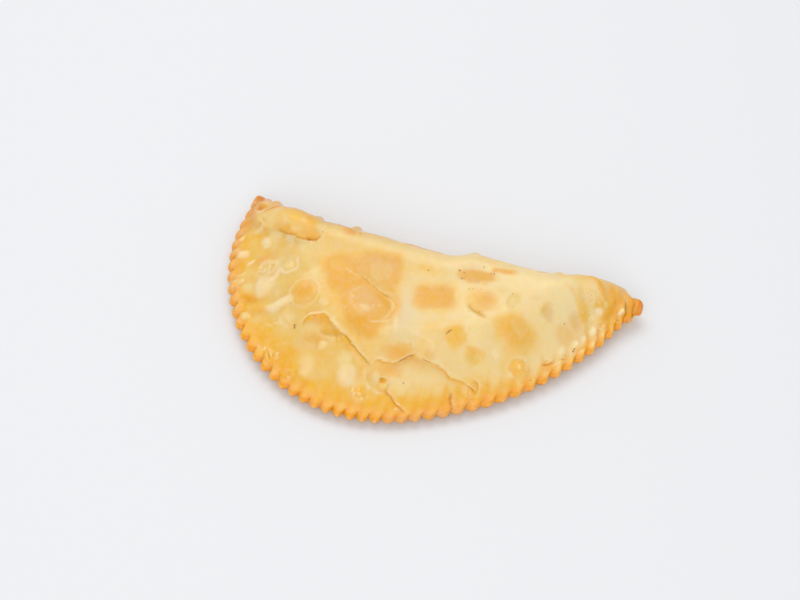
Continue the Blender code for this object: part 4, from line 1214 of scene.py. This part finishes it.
def dress():
    """Adds the crust, which takes the place of the solid's one node."""
    crust = bpy.data.objects.new("crust", build_crust())
    crust.data.materials.append(crust_material())
    bpy.context.scene.collection.objects.link(crust)
    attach(crust, "root")
    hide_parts(NODE)


# Studio
FLOOR_SIZE = 6.0
FLOOR_DROP = 0.0003
FLOOR_COLOUR = (0.81, 0.82, 0.845, 1.0)
FLOOR_ROUGHNESS = 0.6
SKY_COLOUR = (0.98, 0.99, 1.0, 1.0)
SKY_STRENGTH = 0.66
CAMERA_TARGET = (-0.01314, 0.01943, 0.0)
CAMERA_AZIMUTH = 18.3
CAMERA_ELEVATION = 58.0
CAMERA_DISTANCE = 0.7826
CAMERA_LENS = 70.0
# Soft lights: azimuth, elevation, distance, size, power and colour
LIGHTS = (
    (-155.0, 62.0, 2.0, 1.4, 10.0, (1.0, 0.98, 0.95)),
    (8.0, 48.0, 2.0, 2.0, 12.0, (1.0, 0.99, 0.97)),
    (-120.0, 50.0, 2.0, 0.25, 1.5, (1.0, 0.98, 0.95)),
)


def direction(azimuth, elevation):
    """Unit vector from the object towards a place at that azimuth and elevation."""
    a, e = math.radians(azimuth), math.radians(elevation)
    return Vector((math.sin(a) * math.cos(e), -math.cos(a) * math.cos(e), math.sin(e)))


def add_floor():
    """Adds the plain pale floor."""
    mesh = bpy.data.meshes.new("floor")
    half = FLOOR_SIZE / 2
    corners = [(-half, -half, 0), (half, -half, 0), (half, half, 0), (-half, half, 0)]
    mesh.from_pydata(corners, [], [(0, 1, 2, 3)])
    floor = bpy.data.objects.new("floor", mesh)
    floor.location.z = -FLOOR_DROP
    material = bpy.data.materials.new("floor")
    material.use_nodes = True
    shader = material.node_tree.nodes["Principled BSDF"]
    shader.inputs["Base Color"].default_value = FLOOR_COLOUR
    shader.inputs["Roughness"].default_value = FLOOR_ROUGHNESS
    mesh.materials.append(material)
    bpy.context.scene.collection.objects.link(floor)


def add_lights():
    """Adds the even light all round and the soft lamps."""
    world = bpy.data.worlds.new("studio")
    world.use_nodes = True
    sky = world.node_tree.nodes["Background"]
    sky.inputs["Color"].default_value = SKY_COLOUR
    sky.inputs["Strength"].default_value = SKY_STRENGTH
    bpy.context.scene.world = world
    for number, (azimuth, elevation, distance, size, power, colour) in enumerate(LIGHTS):
        light = bpy.data.lights.new(f"light_{number}", "AREA")
        light.shape = "DISK"
        light.size = size
        light.energy = power
        light.color = colour
        lamp = bpy.data.objects.new(light.name, light)
        towards = direction(azimuth, elevation)
        lamp.location = towards * distance
        lamp.rotation_euler = towards.to_track_quat("Z", "Y").to_euler()
        bpy.context.scene.collection.objects.link(lamp)


def add_camera():
    """Adds the camera, at the photo's angle."""
    data = bpy.data.cameras.new("camera")
    data.lens = CAMERA_LENS
    camera = bpy.data.objects.new("camera", data)
    back = direction(CAMERA_AZIMUTH, CAMERA_ELEVATION)
    camera.location = Vector(CAMERA_TARGET) + back * CAMERA_DISTANCE
    camera.rotation_euler = back.to_track_quat("Z", "Y").to_euler()
    bpy.context.scene.collection.objects.link(camera)
    bpy.context.scene.camera = camera


dress()
add_floor()
add_lights()
add_camera()
bpy.context.scene.view_settings.view_transform = "Standard"
